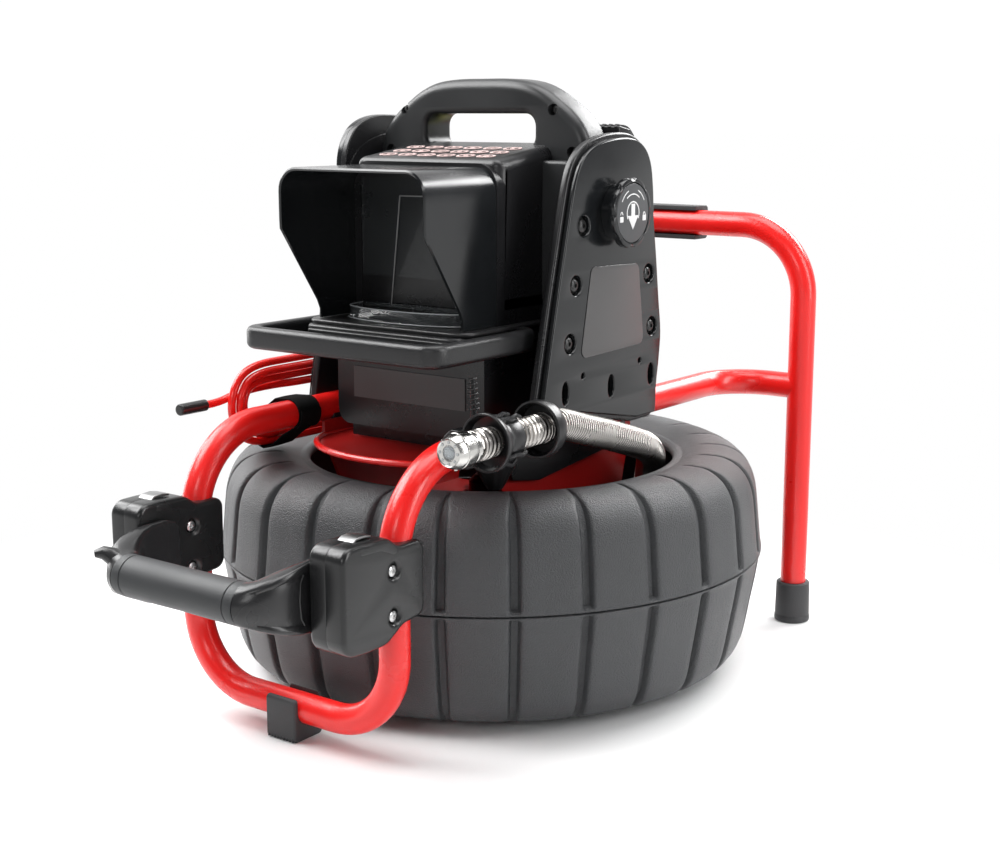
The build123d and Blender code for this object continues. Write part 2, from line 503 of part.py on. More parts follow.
# ---------------------------------------------------------------- camera, guide and lead
def camera_line():
    nose, x, z = HEAD_FRONT_Y, LEAD_X, HEAD_Z
    head = rod(HEAD_R, (x, nose, z), (x, nose + 20, z)) + rod(10.6, (x, nose + 19, z), (x, nose + 24, z))
    head = soften(head, 1.2, head.edges().filter_by(GeomType.CIRCLE).sort_by(Axis.Y)[0:1])
    head -= rod(9.4, (x, nose - 1, z), (x, nose + 1.8, z))
    keep("camera_head", head)
    keep("led_ring", rod(9.3, (x, nose + 0.8, z), (x, nose + 1.8, z)) - rod(5.0, (x, nose - 1, z), (x, nose + 3, z)))
    keep("camera_window", rod(4.8, (x, nose + 0.2, z), (x, nose + 1.8, z)))
    hole = rod(7.0, (x, nose, z), (x, SPRING_Y, z))
    keep("spring_core", rod(7.0, (x, nose + 24, z), (x, SPRING_Y - 1, z)))
    spans = [(nose + 24.2, RING_FRONT - 0.2), (RING_FRONT + RING_T + 0.2, RING_REAR - 0.2)]
    keep("coarse_springs", *[rod(11.4, (x, y0, z), (x, y1, z)) - hole for y0, y1 in spans])
    keep("guide_rings", guide_ring(RING_FRONT), guide_ring(RING_REAR))
    clamp = block(LOOP_X + 2, LEAD_X - 4, RING_FRONT + 3, RING_REAR + RING_T - 3, ARM_Z - 7, ARM_Z + 9)
    clamp += block(LOOP_X - 13, LOOP_X + 15, RING_FRONT + 8, RING_REAR + 4, ARM_Z - 7, ARM_Z + TUBE_R + 3.5)
    clamp -= arm_core(1)
    clamp -= rod(GUIDE_R + 0.1, (x, nose, z), (x, SPRING_Y + 10, z))
    keep("guide_clamp", clamp)
    points = [(x, SPRING_Y + 0.2, HEAD_Z), (x, SPRING_Y + 18, HEAD_Z), (x, -38, 208.0), (x - 1, 5, 194.0), (x - 10, 46, 181.0),
              (x - 27, 75, 158.0), (x - 35, 84, 126.0)]
    path = FilletPolyline(*points, radius=[80, 120, 120, 60, 36])
    start = Plane(origin=path @ 0, z_dir=path % 0)
    keep("long_spring", sweep(start * Circle(12.0), path))


def guide_ring(front):
    ring = rod(GUIDE_R, (LEAD_X, front, HEAD_Z), (LEAD_X, front + RING_T, HEAD_Z))
    ring = soften(ring, 2.5, ring.edges().filter_by(GeomType.CIRCLE))
    return ring - rod(7.0, (LEAD_X, front - 1, HEAD_Z), (LEAD_X, front + RING_T + 1, HEAD_Z))


# ---------------------------------------------------------------- red system cable
def system_cable():
    front, rear, low, high = -172.0, 20.0, 182.0, 252.5
    height = high - low
    plane = Plane(origin=(HANK_X - HANK_T / 2, (front + rear) / 2, (low + high) / 2), x_dir=(0, 1, 0), z_dir=(1, 0, 0))
    track = SlotOverall(rear - front, height) - SlotOverall(rear - front - 2 * HANK_W, height - 2 * HANK_W)
    keep("cable_hank", extrude(plane * track, HANK_T))
    top = high - CORD_R
    tail_x, tail_z = HANK_X - HANK_T / 2 - CORD_R - 0.1, (low + high) / 2 + 5.5
    keep("cable_tail", rod(CORD_R, (tail_x, front - 18, tail_z), (tail_x, front + 26, tail_z)))
    cap = rod(4.6, (tail_x, front - 46, tail_z), (tail_x, front - 18, tail_z))
    keep("cable_cap", soften(cap, 1.5, cap.edges().filter_by(GeomType.CIRCLE)))
    keep("cable_lead_in", rod(CORD_R, (HANK_X, rear - 15, top), (HANK_X, rear + 14, top)))
    gland = rod(6.5, (HANK_X, rear + 14, top), (HANK_X, rear + 34, top))
    gland += block(HANK_X - 8, -DOCK_X, rear + 22, rear + 38, top - 9, top + 9)
    keep("cable_gland", gland)
    wall, x0, x1, z0, z1 = 1.5, HANK_X - HANK_T / 2 - 0.5, -LOOP_X + TUBE_R + 0.5, low - 0.3, ARM_Z + TUBE_R + 0.5
    plane = Plane(origin=((x0 + x1) / 2, -138, (z0 + z1) / 2), x_dir=(1, 0, 0), z_dir=(0, 1, 0))
    window = RectangleRounded(x1 - x0, z1 - z0, 0.6)
    strap = RectangleRounded(x1 - x0 + 2 * wall, z1 - z0 + 2 * wall, 2.1) - window
    keep("cable_strap", extrude(plane * strap, 24))


def main():
    front_loop()
    rear_frame()
    front_foot()
    drum()
    axle_and_bracket()
    handle_blocks()
    carry_handle()
    dock()
    rear_bar_pad()
    lock_knob()
    monitor()
    camera_line()
    system_cable()
    os.makedirs("parts", exist_ok=True)
    for name, shape in PARTS.items():
        export_step(Pos(0, AXIS_Y, 0) * shape, f"parts/{name}.step")


main()
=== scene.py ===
"""Looks for the drain camera reel: camera, spare cable, detailed pieces and procedural materials."""
from math import atan2, copysign, cos, degrees, hypot, pi, radians, sin, sqrt, tan, tau

import bmesh
import bpy
from mathutils import Matrix, Vector


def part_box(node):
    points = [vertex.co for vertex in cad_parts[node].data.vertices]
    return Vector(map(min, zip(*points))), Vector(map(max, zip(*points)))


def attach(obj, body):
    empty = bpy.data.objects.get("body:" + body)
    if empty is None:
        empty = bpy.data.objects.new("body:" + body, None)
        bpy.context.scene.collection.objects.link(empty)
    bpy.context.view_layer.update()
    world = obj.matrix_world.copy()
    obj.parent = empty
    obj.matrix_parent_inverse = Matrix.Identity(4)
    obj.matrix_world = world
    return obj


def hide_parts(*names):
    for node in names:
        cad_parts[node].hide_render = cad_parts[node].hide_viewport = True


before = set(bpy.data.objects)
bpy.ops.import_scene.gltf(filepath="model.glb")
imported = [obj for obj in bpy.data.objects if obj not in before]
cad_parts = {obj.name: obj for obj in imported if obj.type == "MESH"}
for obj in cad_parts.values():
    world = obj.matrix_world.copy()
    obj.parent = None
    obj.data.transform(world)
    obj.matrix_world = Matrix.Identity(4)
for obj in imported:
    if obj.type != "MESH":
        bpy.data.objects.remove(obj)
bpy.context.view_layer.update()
MM = 0.001
AXIS_Y = (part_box("axle")[0][1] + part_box("axle")[1][1]) / 2      # drum axis, in the row frame


def spot(x, y, z):
    """Millimetres from the drum axis and the floor, to the row frame in metres."""
    return Vector((x * MM, y * MM + AXIS_Y, z * MM))


# ---------------------------------------------------------------- camera
EYE = (778.05, -1032.13, 448.7)              # millimetres, from the drum axis and the floor
DOWN, ROUND = 78.87, 36.7                    # degrees about x and about z
SENSOR, FOCAL = 36, 57.27

eye = bpy.data.cameras.new("view")
eye.sensor_width, eye.lens, eye.clip_start = SENSOR, FOCAL, 0.05
camera = bpy.data.objects.new("view", eye)
camera.location = spot(*EYE)
camera.rotation_euler = (radians(DOWN), 0, radians(ROUND))
bpy.context.scene.collection.objects.link(camera)
bpy.context.scene.camera = camera


# ---------------------------------------------------------------- materials
def add(tree, kind, feeds=(), **values):
    """A shader node with values set and inputs fed; an underscore in a value's name is a space."""
    made = tree.nodes.new("ShaderNode" + kind)
    for name, value in values.items():
        made.inputs[name.replace("_", " ")].default_value = value
    for name, source in feeds:
        tree.links.new(source, made.inputs[name])
    return made


def ramp_of(tree, source, low, low_color, high, high_color):
    ramp = add(tree, "ValToRGB", [("Fac", source)])
    for stop, place, color in zip(ramp.color_ramp.elements, (low, high), (low_color, high_color)):
        stop.position, stop.color = place, color
    return ramp.outputs["Color"]


def surface(name, color, rough, slot=None, metal=0, grain=900, bump=0.05, vary=0.12, vary_scale=14,
        rough_vary=0.06, coat=0, specular=0.5, stretch=(1, 1, 1), wear=0):
    """A finish and its slot: mottled colour, uneven gloss, fine grain, optional worn scuffs."""
    material = bpy.data.materials.new(name)
    material.use_nodes = True
    tree = material.node_tree
    shader = tree.nodes["Principled BSDF"]
    place = tree.nodes.new("ShaderNodeTexCoord").outputs["Object"]
    scaled = add(tree, "Mapping", [("Vector", place)], Scale=stretch).outputs["Vector"]
    fine = add(tree, "TexNoise", [("Vector", scaled)], Scale=grain, Detail=3).outputs["Fac"]
    broad = add(tree, "TexNoise", [("Vector", place)], Scale=vary_scale, Detail=4).outputs["Fac"]
    darker = [c * (1 - vary) for c in color] + [1]
    lighter = [min(c * (1 + vary), 1) for c in color] + [1]
    tint = ramp_of(tree, broad, 0.3, darker, 0.7, lighter)
    gloss = add(tree, "MapRange", [("Value", broad)], From_Min=0.3, From_Max=0.7,
            To_Min=max(rough - rough_vary, 0.02), To_Max=min(rough + rough_vary, 1)).outputs["Result"]
    if wear:
        scuff = add(tree, "TexNoise", [("Vector", place)], Scale=70, Detail=8, Roughness=0.75)
        more = add(tree, "Math", [(0, scuff.outputs["Fac"]), (2, gloss)])
        more.operation = "MULTIPLY_ADD"
        more.inputs[1].default_value = wear
        gloss = more.outputs["Value"]
    relief = add(tree, "Bump", [("Height", fine)], Strength=bump, Distance=0.001)
    for socket, source in (("Base Color", tint), ("Roughness", gloss),
            ("Normal", relief.outputs["Normal"])):
        tree.links.new(source, shader.inputs[socket])
    for socket, value in (("Metallic", metal), ("Specular IOR Level", specular), ("Coat Weight", coat),
            ("Coat Roughness", 0.08)):
        shader.inputs[socket].default_value = value
    return material, slot or name


def glass(name, color, rough, alpha):
    """Clear moulded plastic or glass with faint smears in its gloss."""
    finish = surface(name, color, rough, grain=300, bump=0.01, vary=0.02, rough_vary=0.02)
    shader = finish[0].node_tree.nodes["Principled BSDF"]
    shader.inputs["Transmission Weight"].default_value = 0.9
    shader.inputs["Alpha"].default_value = alpha
    return finish


RED = surface("red_powder_coat", (0.84, 0.010, 0.008), 0.30, grain=620, bump=0.22, vary=0.07, coat=0.25)
# The bracket's sheet has the same red powder coat, made darker here as painted shade for the deck under the
# dock.
RED_SHEET_SHADED = surface("red_sheet_painted_shade", (0.36, 0.008, 0.007), 0.33, slot="red_powder_coat", grain=520,
        bump=0.10, vary=0.10)
DRUM = surface("drum_plastic", (0.047, 0.049, 0.052), 0.34, grain=950, bump=1, vary=0.08, wear=0.06)
GLOSS = surface("gloss_black", (0.009, 0.010, 0.011), 0.14, grain=90, bump=0.02, vary=0.25, wear=0.06)
SATIN = surface("satin_black", (0.010, 0.010, 0.011), 0.24, grain=1200, bump=0.07, vary=0.18, wear=0.10)
TRAY = surface("tray_black", (0.014, 0.014, 0.015), 0.30, slot="satin_black", grain=1000, bump=0.22,
        vary=0.15, wear=0.12)
# The case is the same black plastic, made lighter here as painted sheen for the light band along the arch.
CASE_SHEEN = surface("case_plastic_painted_sheen", (0.017, 0.018, 0.019), 0.33, slot="satin_black", grain=1200, bump=0.07,
        vary=0.14, wear=0.08)
BLOCK = surface("block_plastic", (0.012, 0.0125, 0.013), 0.27, slot="gloss_black", grain=1300, bump=0.08,
        vary=0.08, rough_vary=0.02)
ARM = surface("arm_plastic", (0.018, 0.018, 0.019), 0.27, slot="gloss_black", grain=1200, bump=0.06,
        vary=0.10, rough_vary=0.02)
GRIP = surface("handle_grey", (0.030, 0.032, 0.034), 0.46, grain=1700, bump=0.20, vary=0.10, wear=0.10)
RUBBER = surface("rubber_grey", (0.040, 0.040, 0.042), 0.58, grain=900, bump=0.22, vary=0.16)
DARK_STEEL = surface("dark_steel", (0.16, 0.16, 0.16), 0.30, slot="steel", metal=1, grain=700, bump=0.06,
        vary=0.15)
STEEL = surface("steel", (0.60, 0.60, 0.60), 0.28, metal=1, grain=700, bump=0.06, vary=0.10)
TAB_STEEL = surface("tab_steel", (0.34, 0.34, 0.34), 0.30, slot="steel", metal=1, grain=700, bump=0.06,
        vary=0.12)
SPRING = surface("spring_steel", (0.46, 0.44, 0.42), 0.26, metal=1, grain=800, bump=0.05, vary=0.12)
POLISHED = surface("polished_steel", (0.62, 0.61, 0.59), 0.13, metal=1, grain=500, bump=0.04, vary=0.07,
        stretch=(6, 1, 6), wear=0.06)
LABEL = surface("label_grey", (0.082, 0.080, 0.080), 0.38, grain=2200, bump=0.05, vary=0.06)
DIAL = surface("dial_grey", (0.060, 0.062, 0.065), 0.45, slot="label_grey", grain=1800, bump=0.10,
        vary=0.08)
EDGE = surface("display_edge", (0.30, 0.30, 0.30), 0.40, slot="steel", grain=1800, bump=0.05, vary=0.08)
# Light grey strips on the clear lip's top and bottom edges are a painted highlight for the reflection on the
# clear plastic.
LIP_HIGHLIGHT = surface("lip_highlight", (0.42, 0.44, 0.45), 0.20, slot="clear_screen", grain=1800, bump=0.02,
        vary=0.08)
MARK = surface("white_print", (0.72, 0.72, 0.72), 0.50, slot="label_grey", grain=2200, bump=0.03,
        vary=0.05)
KEY = surface("key_print", (0.62, 0.46, 0.44), 0.42, grain=2400, bump=0.06, vary=0.22, vary_scale=260)
LIME = surface("lime_strip", (0.42, 0.43, 0.08), 0.45, slot="satin_black", grain=1200, bump=0.10,
        vary=0.12)
JACKET = surface("red_jacket", (0.80, 0.016, 0.012), 0.22, grain=900, bump=0.05, vary=0.10, coat=0.25)
CAP = surface("black_cap", (0.018, 0.018, 0.018), 0.30, grain=1200, bump=0.10, vary=0.15)
STRAP = surface("strap_fabric", (0.0022, 0.0032, 0.0032), 0.92, grain=1300, bump=0.9, vary=0.35,
        specular=0.2, vary_scale=420, stretch=(1, 2.2, 1))
LCD = surface("lcd_dark", (0.035, 0.040, 0.045), 0.20, grain=300, bump=0.01, vary=0.10, vary_scale=6)
PUSH = surface("push_cable_jacket", (0.010, 0.010, 0.011), 0.42, grain=1500, bump=0.20, vary=0.2)
CLEAR = glass("clear_screen", (0.55, 0.60, 0.62), 0.05, 0.30)
LENS = glass("led_lens", (0.75, 0.80, 0.84), 0.06, 0.75)


# ---------------------------------------------------------------- mesh helpers
def shown(name, data):
    thing = bpy.data.objects.new(name, data)
    bpy.context.scene.collection.objects.link(thing)
    return thing


def baked(thing):
    bpy.context.view_layer.update()
    return bpy.data.meshes.new_from_object(thing.evaluated_get(bpy.context.evaluated_depsgraph_get()))


def angles(steps):
    return [tau * k / steps for k in range(steps)]


def finish_piece(name, mesh, body, finish, nodes=(), smooth=32):
    """Turns a mesh into a named piece that rides on a body and may stand for CAD nodes."""
    material, slot = finish
    piece = shown(name, mesh)
    mesh.materials.clear()
    mesh.materials.append(material)
    for face in mesh.polygons:
        face.use_smooth = True
    mesh.set_sharp_from_angle(angle=radians(smooth))
    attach(piece, body)
    if nodes:
        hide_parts(*nodes)
    return piece


def merged(name, meshes):
    """One mesh from several."""
    verts, faces = [], []
    for mesh in meshes:
        start = len(verts)
        verts += [v.co.copy() for v in mesh.vertices]
        faces += [[start + i for i in face.vertices] for face in mesh.polygons]
        bpy.data.meshes.remove(mesh)
    whole = bpy.data.meshes.new(name)
    whole.from_pydata(verts, [], faces)
    whole.update()
    return whole


def weld(mesh):
    """Joins the loose edges of a mesh, so that it is one closed skin."""
    work = bmesh.new()
    work.from_mesh(mesh)
    bmesh.ops.remove_doubles(work, verts=work.verts, dist=2e-6)
    bmesh.ops.recalc_face_normals(work, faces=work.faces)
    work.to_mesh(mesh)
    work.free()


def carve(mesh, cutters):
    """Cuts closed meshes out of another."""
    body = shown("body", mesh)
    tool = shown("tool", merged("tool", cutters))
    weld(tool.data)
    cut = body.modifiers.new("cut", "BOOLEAN")
    cut.operation = "DIFFERENCE"
    cut.solver = "EXACT"
    cut.object = tool
    result = baked(body)
    bpy.data.objects.remove(body)
    bpy.data.objects.remove(tool)
    return result


def skin(rows, around=True, closed=False, caps=True):
    """A mesh over rows of points; around loops each row, closed joins the last row to the first."""
    count, width = len(rows), len(rows[0])
    verts = [p for row in rows for p in row]
    faces = []
    for i in range(count if closed else count - 1):
        for j in range(width if around else width - 1):
            k, m = (i + 1) % count, (j + 1) % width
            faces.append((i * width + j, i * width + m, k * width + m, k * width + j))
    if caps and around and not closed:
        faces.append(tuple(range(width))[::-1])
        faces.append(tuple((count - 1) * width + j for j in range(width)))
    mesh = bpy.data.meshes.new("skin")
    mesh.from_pydata(verts, [], faces)
    mesh.update()
    return mesh


def lathe(profile, origin, axis, sides=56, caps=True):
    """Turns (radius, distance) points, in millimetres, about an axis from origin."""
    axis = Vector(axis).normalized()
    across = axis.orthogonal().normalized()
    other = axis.cross(across)
    rows = []
    for radius, along in profile:
        centre = origin + axis * along * MM
        row = []
        for a in angles(sides):
            row.append(centre + (across * cos(a) + other * sin(a)) * radius * MM)
        rows.append(row)
    return skin(rows, caps=caps)


def turned_frames(points):
    """A steady pair of cross directions at each point of a path."""
    frames = []
    across = None
    for i, point in enumerate(points):
        ahead = (points[min(i + 1, len(points) - 1)] - points[max(i - 1, 0)]).normalized()
        across = ahead.orthogonal() if across is None else across - ahead * across.dot(ahead)
        across.normalize()
        frames.append((point, across.copy(), ahead.cross(across)))
    return frames


def sweep(points, radius, sides=12):
    """A round tube along points; radius is in millimetres, or a function of (share along, angle)."""
    rows = []
    last = len(points) - 1
    for i, (point, across, other) in enumerate(turned_frames(points)):
        row = []
        for a in angles(sides):
            r = radius(i / last, a) if callable(radius) else radius
            row.append(point + (across * cos(a) + other * sin(a)) * r * MM)
        rows.append(row)
    return skin(rows)


def rounded(corners, steps=7):
    """A closed outline from (u, v, radius) corners, each rounded by an arc."""
    outline = []
    count = len(corners)
    for i, (u, v, radius) in enumerate(corners):
        here = Vector((u, v))
        before = Vector(corners[i - 1][:2]) - here
        after = Vector(corners[(i + 1) % count][:2]) - here
        bend = before.angle(after)
        if radius <= 0 or bend > radians(178):
            outline.append(here)
            continue
        cut = min(radius / tan(bend / 2), before.length * 0.49, after.length * 0.49)
        reach = cut * tan(bend / 2)
        centre = here + (before.normalized() + after.normalized()).normalized() * hypot(cut, reach)
        first = here + before.normalized() * cut - centre
        last = here + after.normalized() * cut - centre
        swing = first.angle_signed(last)
        for k in range(steps + 1):
            turn = -swing * k / steps
            outline.append(centre + Matrix.Rotation(turn, 2) @ first)
    return outline


def ring_outline(u, v, radius, squash=1, steps=28):
    return [Vector((u + radius * cos(tau * i / steps), v + radius * squash * sin(tau * i / steps))) for i
            in range(steps)]


SIDE = Matrix(((0, 0, 1), (1, 0, 0), (0, 1, 0)))     # outline (y, z), thickness along x
FRONT = Matrix(((1, 0, 0), (0, 0, -1), (0, 1, 0)))   # outline (x, z), thickness towards the front
FLAT = Matrix.Identity(3)                            # outline (x, y), thickness upwards


def plate(outline, middle, thickness, turn, edge=1, holes=(), steps=3):
    """A plate with rounded edges and holes; middle is its centre along the thickness, in millimetres."""
    curve = bpy.data.curves.new("plate", "CURVE")
    curve.dimensions = "2D"
    curve.fill_mode = "BOTH"
    for loop in [outline, *holes]:
        line = curve.splines.new("POLY")
        line.points.add(len(loop) - 1)
        for point, place in zip(line.points, loop):
            point.co = (place[0] * MM, place[1] * MM, 0, 1)
        line.use_cyclic_u = True
    curve.bevel_depth = edge * MM
    curve.offset = -edge * MM
    curve.bevel_resolution = steps
    curve.extrude = (thickness / 2 - edge) * MM
    shape = shown("plate", curve)
    mesh = baked(shape)
    bpy.data.objects.remove(shape)
    weld(mesh)
    along = Vector([abs(part) for part in turn.col[2]])
    shift = along * middle * MM + Vector((0, AXIS_Y, 0))
    mesh.transform(Matrix.Translation(shift) @ turn.to_4x4())
    return mesh


def box_piece(x0, x1, y0, y1, z0, z1, corner=3, edge=1):
    """An upright rounded box."""
    outline = rounded([(x0, y0, corner), (x1, y0, corner), (x1, y1, corner), (x0, y1, corner)], 4)
    return plate(outline, (z0 + z1) / 2, z1 - z0, FLAT, edge)


def paint(finish, *nodes):
    """Gives CAD nodes that keep their shape a finish."""
    for name in nodes:
        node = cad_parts[name]
        node.data.materials.clear()
        node.data.materials.append(finish[0])


# ---------------------------------------------------------------- spare cable
CORD_R = 3.2
HANK_X, HANK_FRONT, HANK_REAR, HANK_LOW, HANK_HIGH = -128.5, -172, 20, 182, 252.5
STRANDS, STRAND_PITCH = 4, 6.6


def hank_route():
    """Lead-in at the top rear, four nested turns winding inwards, then the free end at the front."""
    middle = (HANK_LOW + HANK_HIGH) / 2
    bend = (HANK_HIGH - HANK_LOW) / 2
    y_front, y_rear = HANK_FRONT + bend, HANK_REAR - bend
    points = [(HANK_X, 34, HANK_HIGH - CORD_R), (HANK_X, 22, HANK_HIGH - CORD_R)]
    for turn in range(STRANDS):
        r = bend - CORD_R - STRAND_PITCH * turn
        inner = r - STRAND_PITCH
        reach = r / cos(radians(22.5))
        x = HANK_X + (1.2 if turn % 2 else -1.2)
        points += [(x, y_rear - 20, middle + r), (x, y_front + 42, middle + r)]
        if turn == STRANDS - 1:
            break
        for angle in (22.5, 67.5, 112.5, 157.5):
            a = radians(angle)
            points.append((x, y_front - reach * sin(a), middle + reach * cos(a)))
        points += [(x, y_front + 40, middle - r - 0.6), (x, y_rear - 40, middle - r - 0.8)]
        for angle, blend in ((157.5, 0), (112.5, 0.3), (67.5, 0.7), (22.5, 1)):
            a = radians(angle)
            near = (r + (inner - r) * blend) / cos(radians(22.5))
            points.append((x, y_rear + near * sin(a), middle + near * cos(a)))
    r = bend - CORD_R - STRAND_PITCH * (STRANDS - 1)
    tail_x, tail_z = HANK_X - 7.6, middle + 5.5
    points += [(HANK_X - 4.5, -118, middle + r), (tail_x, -140, middle + r - 1),
            (tail_x, -160, middle + 9.5), (tail_x, -176, tail_z), (tail_x, -190, tail_z)]
    return points


def spare_cable():
    curve = bpy.data.curves.new("system_cable", "CURVE")
    curve.dimensions = "3D"
    line = curve.splines.new("NURBS")
    route = hank_route()
    line.points.add(len(route) - 1)
    for point, place in zip(line.points, route):
        point.co = (*spot(*place), 1)
    line.order_u = 3
    line.use_endpoint_u = True
    line.resolution_u = 8
    piece = shown("system_cable", curve)
    mesh = baked(piece)
    bpy.data.meshes.remove(mesh)
    curve.bevel_depth = CORD_R * MM
    curve.bevel_resolution = 5
    curve.use_fill_caps = True
    curve.materials.append(JACKET[0])
    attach(piece, "frame")
    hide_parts("cable_hank", "cable_tail", "cable_lead_in")


spare_cable()


# ---------------------------------------------------------------- drum
GROOVES, GROOVE_PHASE = 26, radians(-7.2)
SEAM_Z = 98.5
WALL_R = 216                               # radius at which the grooves are laid out
PITCH_HALF = 26


def through(points, steps=4):
    """A smooth line through points, Catmull-Rom."""
    line = []
    for i in range(len(points) - 1):
        a, b = points[i], points[i + 1]
        before, after = points[max(i - 1, 0)], points[min(i + 2, len(points) - 1)]
        for k in range(steps):
            t = k / steps
            line.append(tuple(0.5 * (2 * q + (r - p) * t + (2 * p - 5 * q + 4 * r - s) * t * t
                    + (3 * q - p - 3 * r + s) * t ** 3) for p, q, r, s in zip(before, a, b, after)))
    return line + [tuple(points[-1])]


def ease(value, low, high):
    t = min(max((value - low) / (high - low), 0), 1)
    return t * t * (3 - 2 * t)


def groove_share(r, z, upper):
    """How deep and how wide the finger groove is at a place on the shell, each 0 to 1."""
    if upper:
        depth = ease(z, SEAM_Z + 1.8, SEAM_Z + 3.6) * (0.35 + 0.65 * ease(r, 190, 207)) * ease(r, 169,
                184)
        return depth, 0.42 + 0.58 * ease(r, 186, 212)
    depth = ease(SEAM_Z - z, 1.8, 3.6) * ease(r, 188, 203)
    return depth, 1


def drum_shell(name, profile, upper, lining):
    across = (0, 1.3, 2.4, 3.1, 3.9, 4.8, 6.5, 11, 18)
    offsets = [-u for u in across[:0:-1]] + list(across) + [PITCH_HALF]
    rows = []
    for r, z in profile:
        depth, width = groove_share(r, z, upper)
        row = []
        for i in range(GROOVES):
            centre = GROOVE_PHASE + tau * i / GROOVES
            for u in offsets:
                near = abs(u) < 6
                angle = centre + (u * (width if near else 1)) / WALL_R
                cut = 5 * depth * (1 - ease(abs(u), 2.2, 4.8))
                crown = 0.5 * depth * (1 - (abs(u) / PITCH_HALF) ** 2) * (0 if near else 1)
                inward = cut - crown + 0.5 * depth
                slope = 0 if r > 205 else 1 - (r - 185) / 20 if r > 185 else 1
                radius = r - inward * (1 - slope)
                height = z - inward * slope * (1 if upper else -1)
                row.append(spot(radius * cos(angle), radius * sin(angle), height))
        rows.append(row)
    for r, z in lining:
        row = []
        for i in range(GROOVES):
            centre = GROOVE_PHASE + tau * i / GROOVES
            row += [spot(r * cos(a), r * sin(a), z) for a in (centre + u / WALL_R for u in offsets)]
        rows.append(row)
    finish_piece(name, skin(rows, closed=True, caps=False), "drum", DRUM,
            ["drum_upper_shell" if upper else "drum_lower_shell"], smooth=50)


def drum():
    wall = [(222.6, SEAM_Z + 0.35), (223.4, SEAM_Z + 0.9), (223.2, SEAM_Z + 2.2)]
    wall += through([(222.9, 102.5), (221, 120), (219.2, 138), (217.3, 151), (213, 162.5),
            (205.5, 171.3), (195, 176.6), (184, 178.4), (172, 177.8), (161.5, 174.2), (157.5, 172.4)], 4)
    wall += [(155.5, 172.6), (153.2, 173), (150.8, 171.8), (149.6, 169.4), (149.8, 166.4), (151.5, 164.6)]
    lining = [(156, 165.5), (172, 171), (188, 171.3), (202, 165), (210, 150), (214, 120),
            (215, SEAM_Z + 0.4)]
    drum_shell("upper_shell", wall, True, lining)
    base = [(222.6, SEAM_Z - 0.35), (223.4, SEAM_Z - 0.9), (223.1, SEAM_Z - 2.2)]
    base += through([(222.4, 94.5), (219.5, 76), (215.8, 56), (212.6, 38), (209, 24.5), (202.5, 14.5),
            (192.5, 9.3), (182, 8.2)], 4) + [(150, 8.1), (100, 8.1), (41, 8.1)]
    lining = [(41, 14.9), (180, 14.9), (196, 17), (204, 27), (208, 42), (215, SEAM_Z - 0.4)]
    drum_shell("lower_shell", base, False, lining)


def wound_cable():
    """The push cable in the drum: turns stacked against the wall, each its own loop of one spiral."""
    points = []
    turns = [(191 - 10.2 * k, 84) for k in range(6)] + [(140, 73.5 - 10.2 * k) for k in range(5)]
    for r, z in turns:
        for a in angles(48):
            near = r + 1.2 * sin(3 * a + r)
            points.append(spot(near * cos(a), near * sin(a), z + 0.8 * sin(5 * a + z)))
    finish_piece("wound_push_cable", sweep(points, 4.9, 10), "drum", PUSH, ["push_cable_coil"])


# ---------------------------------------------------------------- springs, guide and camera head
LEAD_X, HEAD_Z, NOSE_Y = 135, 225.5, -227
RING_FRONT, RING_REAR, RING_T = -187, -128, 13
SPRING_Y = RING_REAR + RING_T


def wire_coil(y0, y1, radius, wire, pitch):
    turns = (y1 - y0) / pitch
    steps = int(turns * 26)
    points = []
    for i in range(steps + 1):
        a = tau * turns * i / steps
        points.append(spot(LEAD_X + radius * cos(a), y0 + (y1 - y0) * i / steps,
                HEAD_Z + radius * sin(a)))
    return sweep(points, wire, 8)


def coarse_springs():
    spans = [(NOSE_Y + 25.5, RING_FRONT + 9, 9.6, 4.4), (RING_FRONT + RING_T + 6, RING_REAR + 8, 9.6,
            4.4)]
    coils = [wire_coil(y0, y1, radius, 1.7, pitch) for y0, y1, radius, pitch in spans]
    finish_piece("coarse_spring_wire", merged("coils", coils), "frame", SPRING, ["coarse_springs"])


def long_spring():
    route = [(LEAD_X, SPRING_Y - 6, HEAD_Z), (LEAD_X, SPRING_Y + 6, HEAD_Z),
            (LEAD_X, SPRING_Y + 20, HEAD_Z - 1), (LEAD_X, -62, 215), (LEAD_X - 0.1, -38, 208.2),
            (LEAD_X - 0.7, -10, 199.4), (LEAD_X - 2.6, 14, 191.8), (LEAD_X - 7.5, 36, 184),
            (LEAD_X - 14.5, 55, 174), (LEAD_X - 23, 68.5, 160), (LEAD_X - 31, 78, 143),
            (LEAD_X - 34.5, 83, 127)]
    line = [spot(*p) for p in through(route, 30)]
    frames = turned_frames(line)
    wire, turned, pitch, radius = [], 0, 2.9, 10.75
    for (a, across, other), (b, _, _) in zip(frames, frames[1:]):
        gap = (b - a).length
        steps = max(int(gap / (pitch * MM) * 22), 1)
        for k in range(steps):
            turned += tau * gap / steps / (pitch * MM)
            wire.append(a.lerp(b, k / steps) + (across * cos(turned) + other * sin(turned)) * radius * MM)
    spring = merged("spring", [sweep(wire, 1.28, 7), sweep(line[::6], 9.9, 20)])
    finish_piece("long_spring_wire", spring, "frame", SPRING, ["long_spring"], smooth=60)


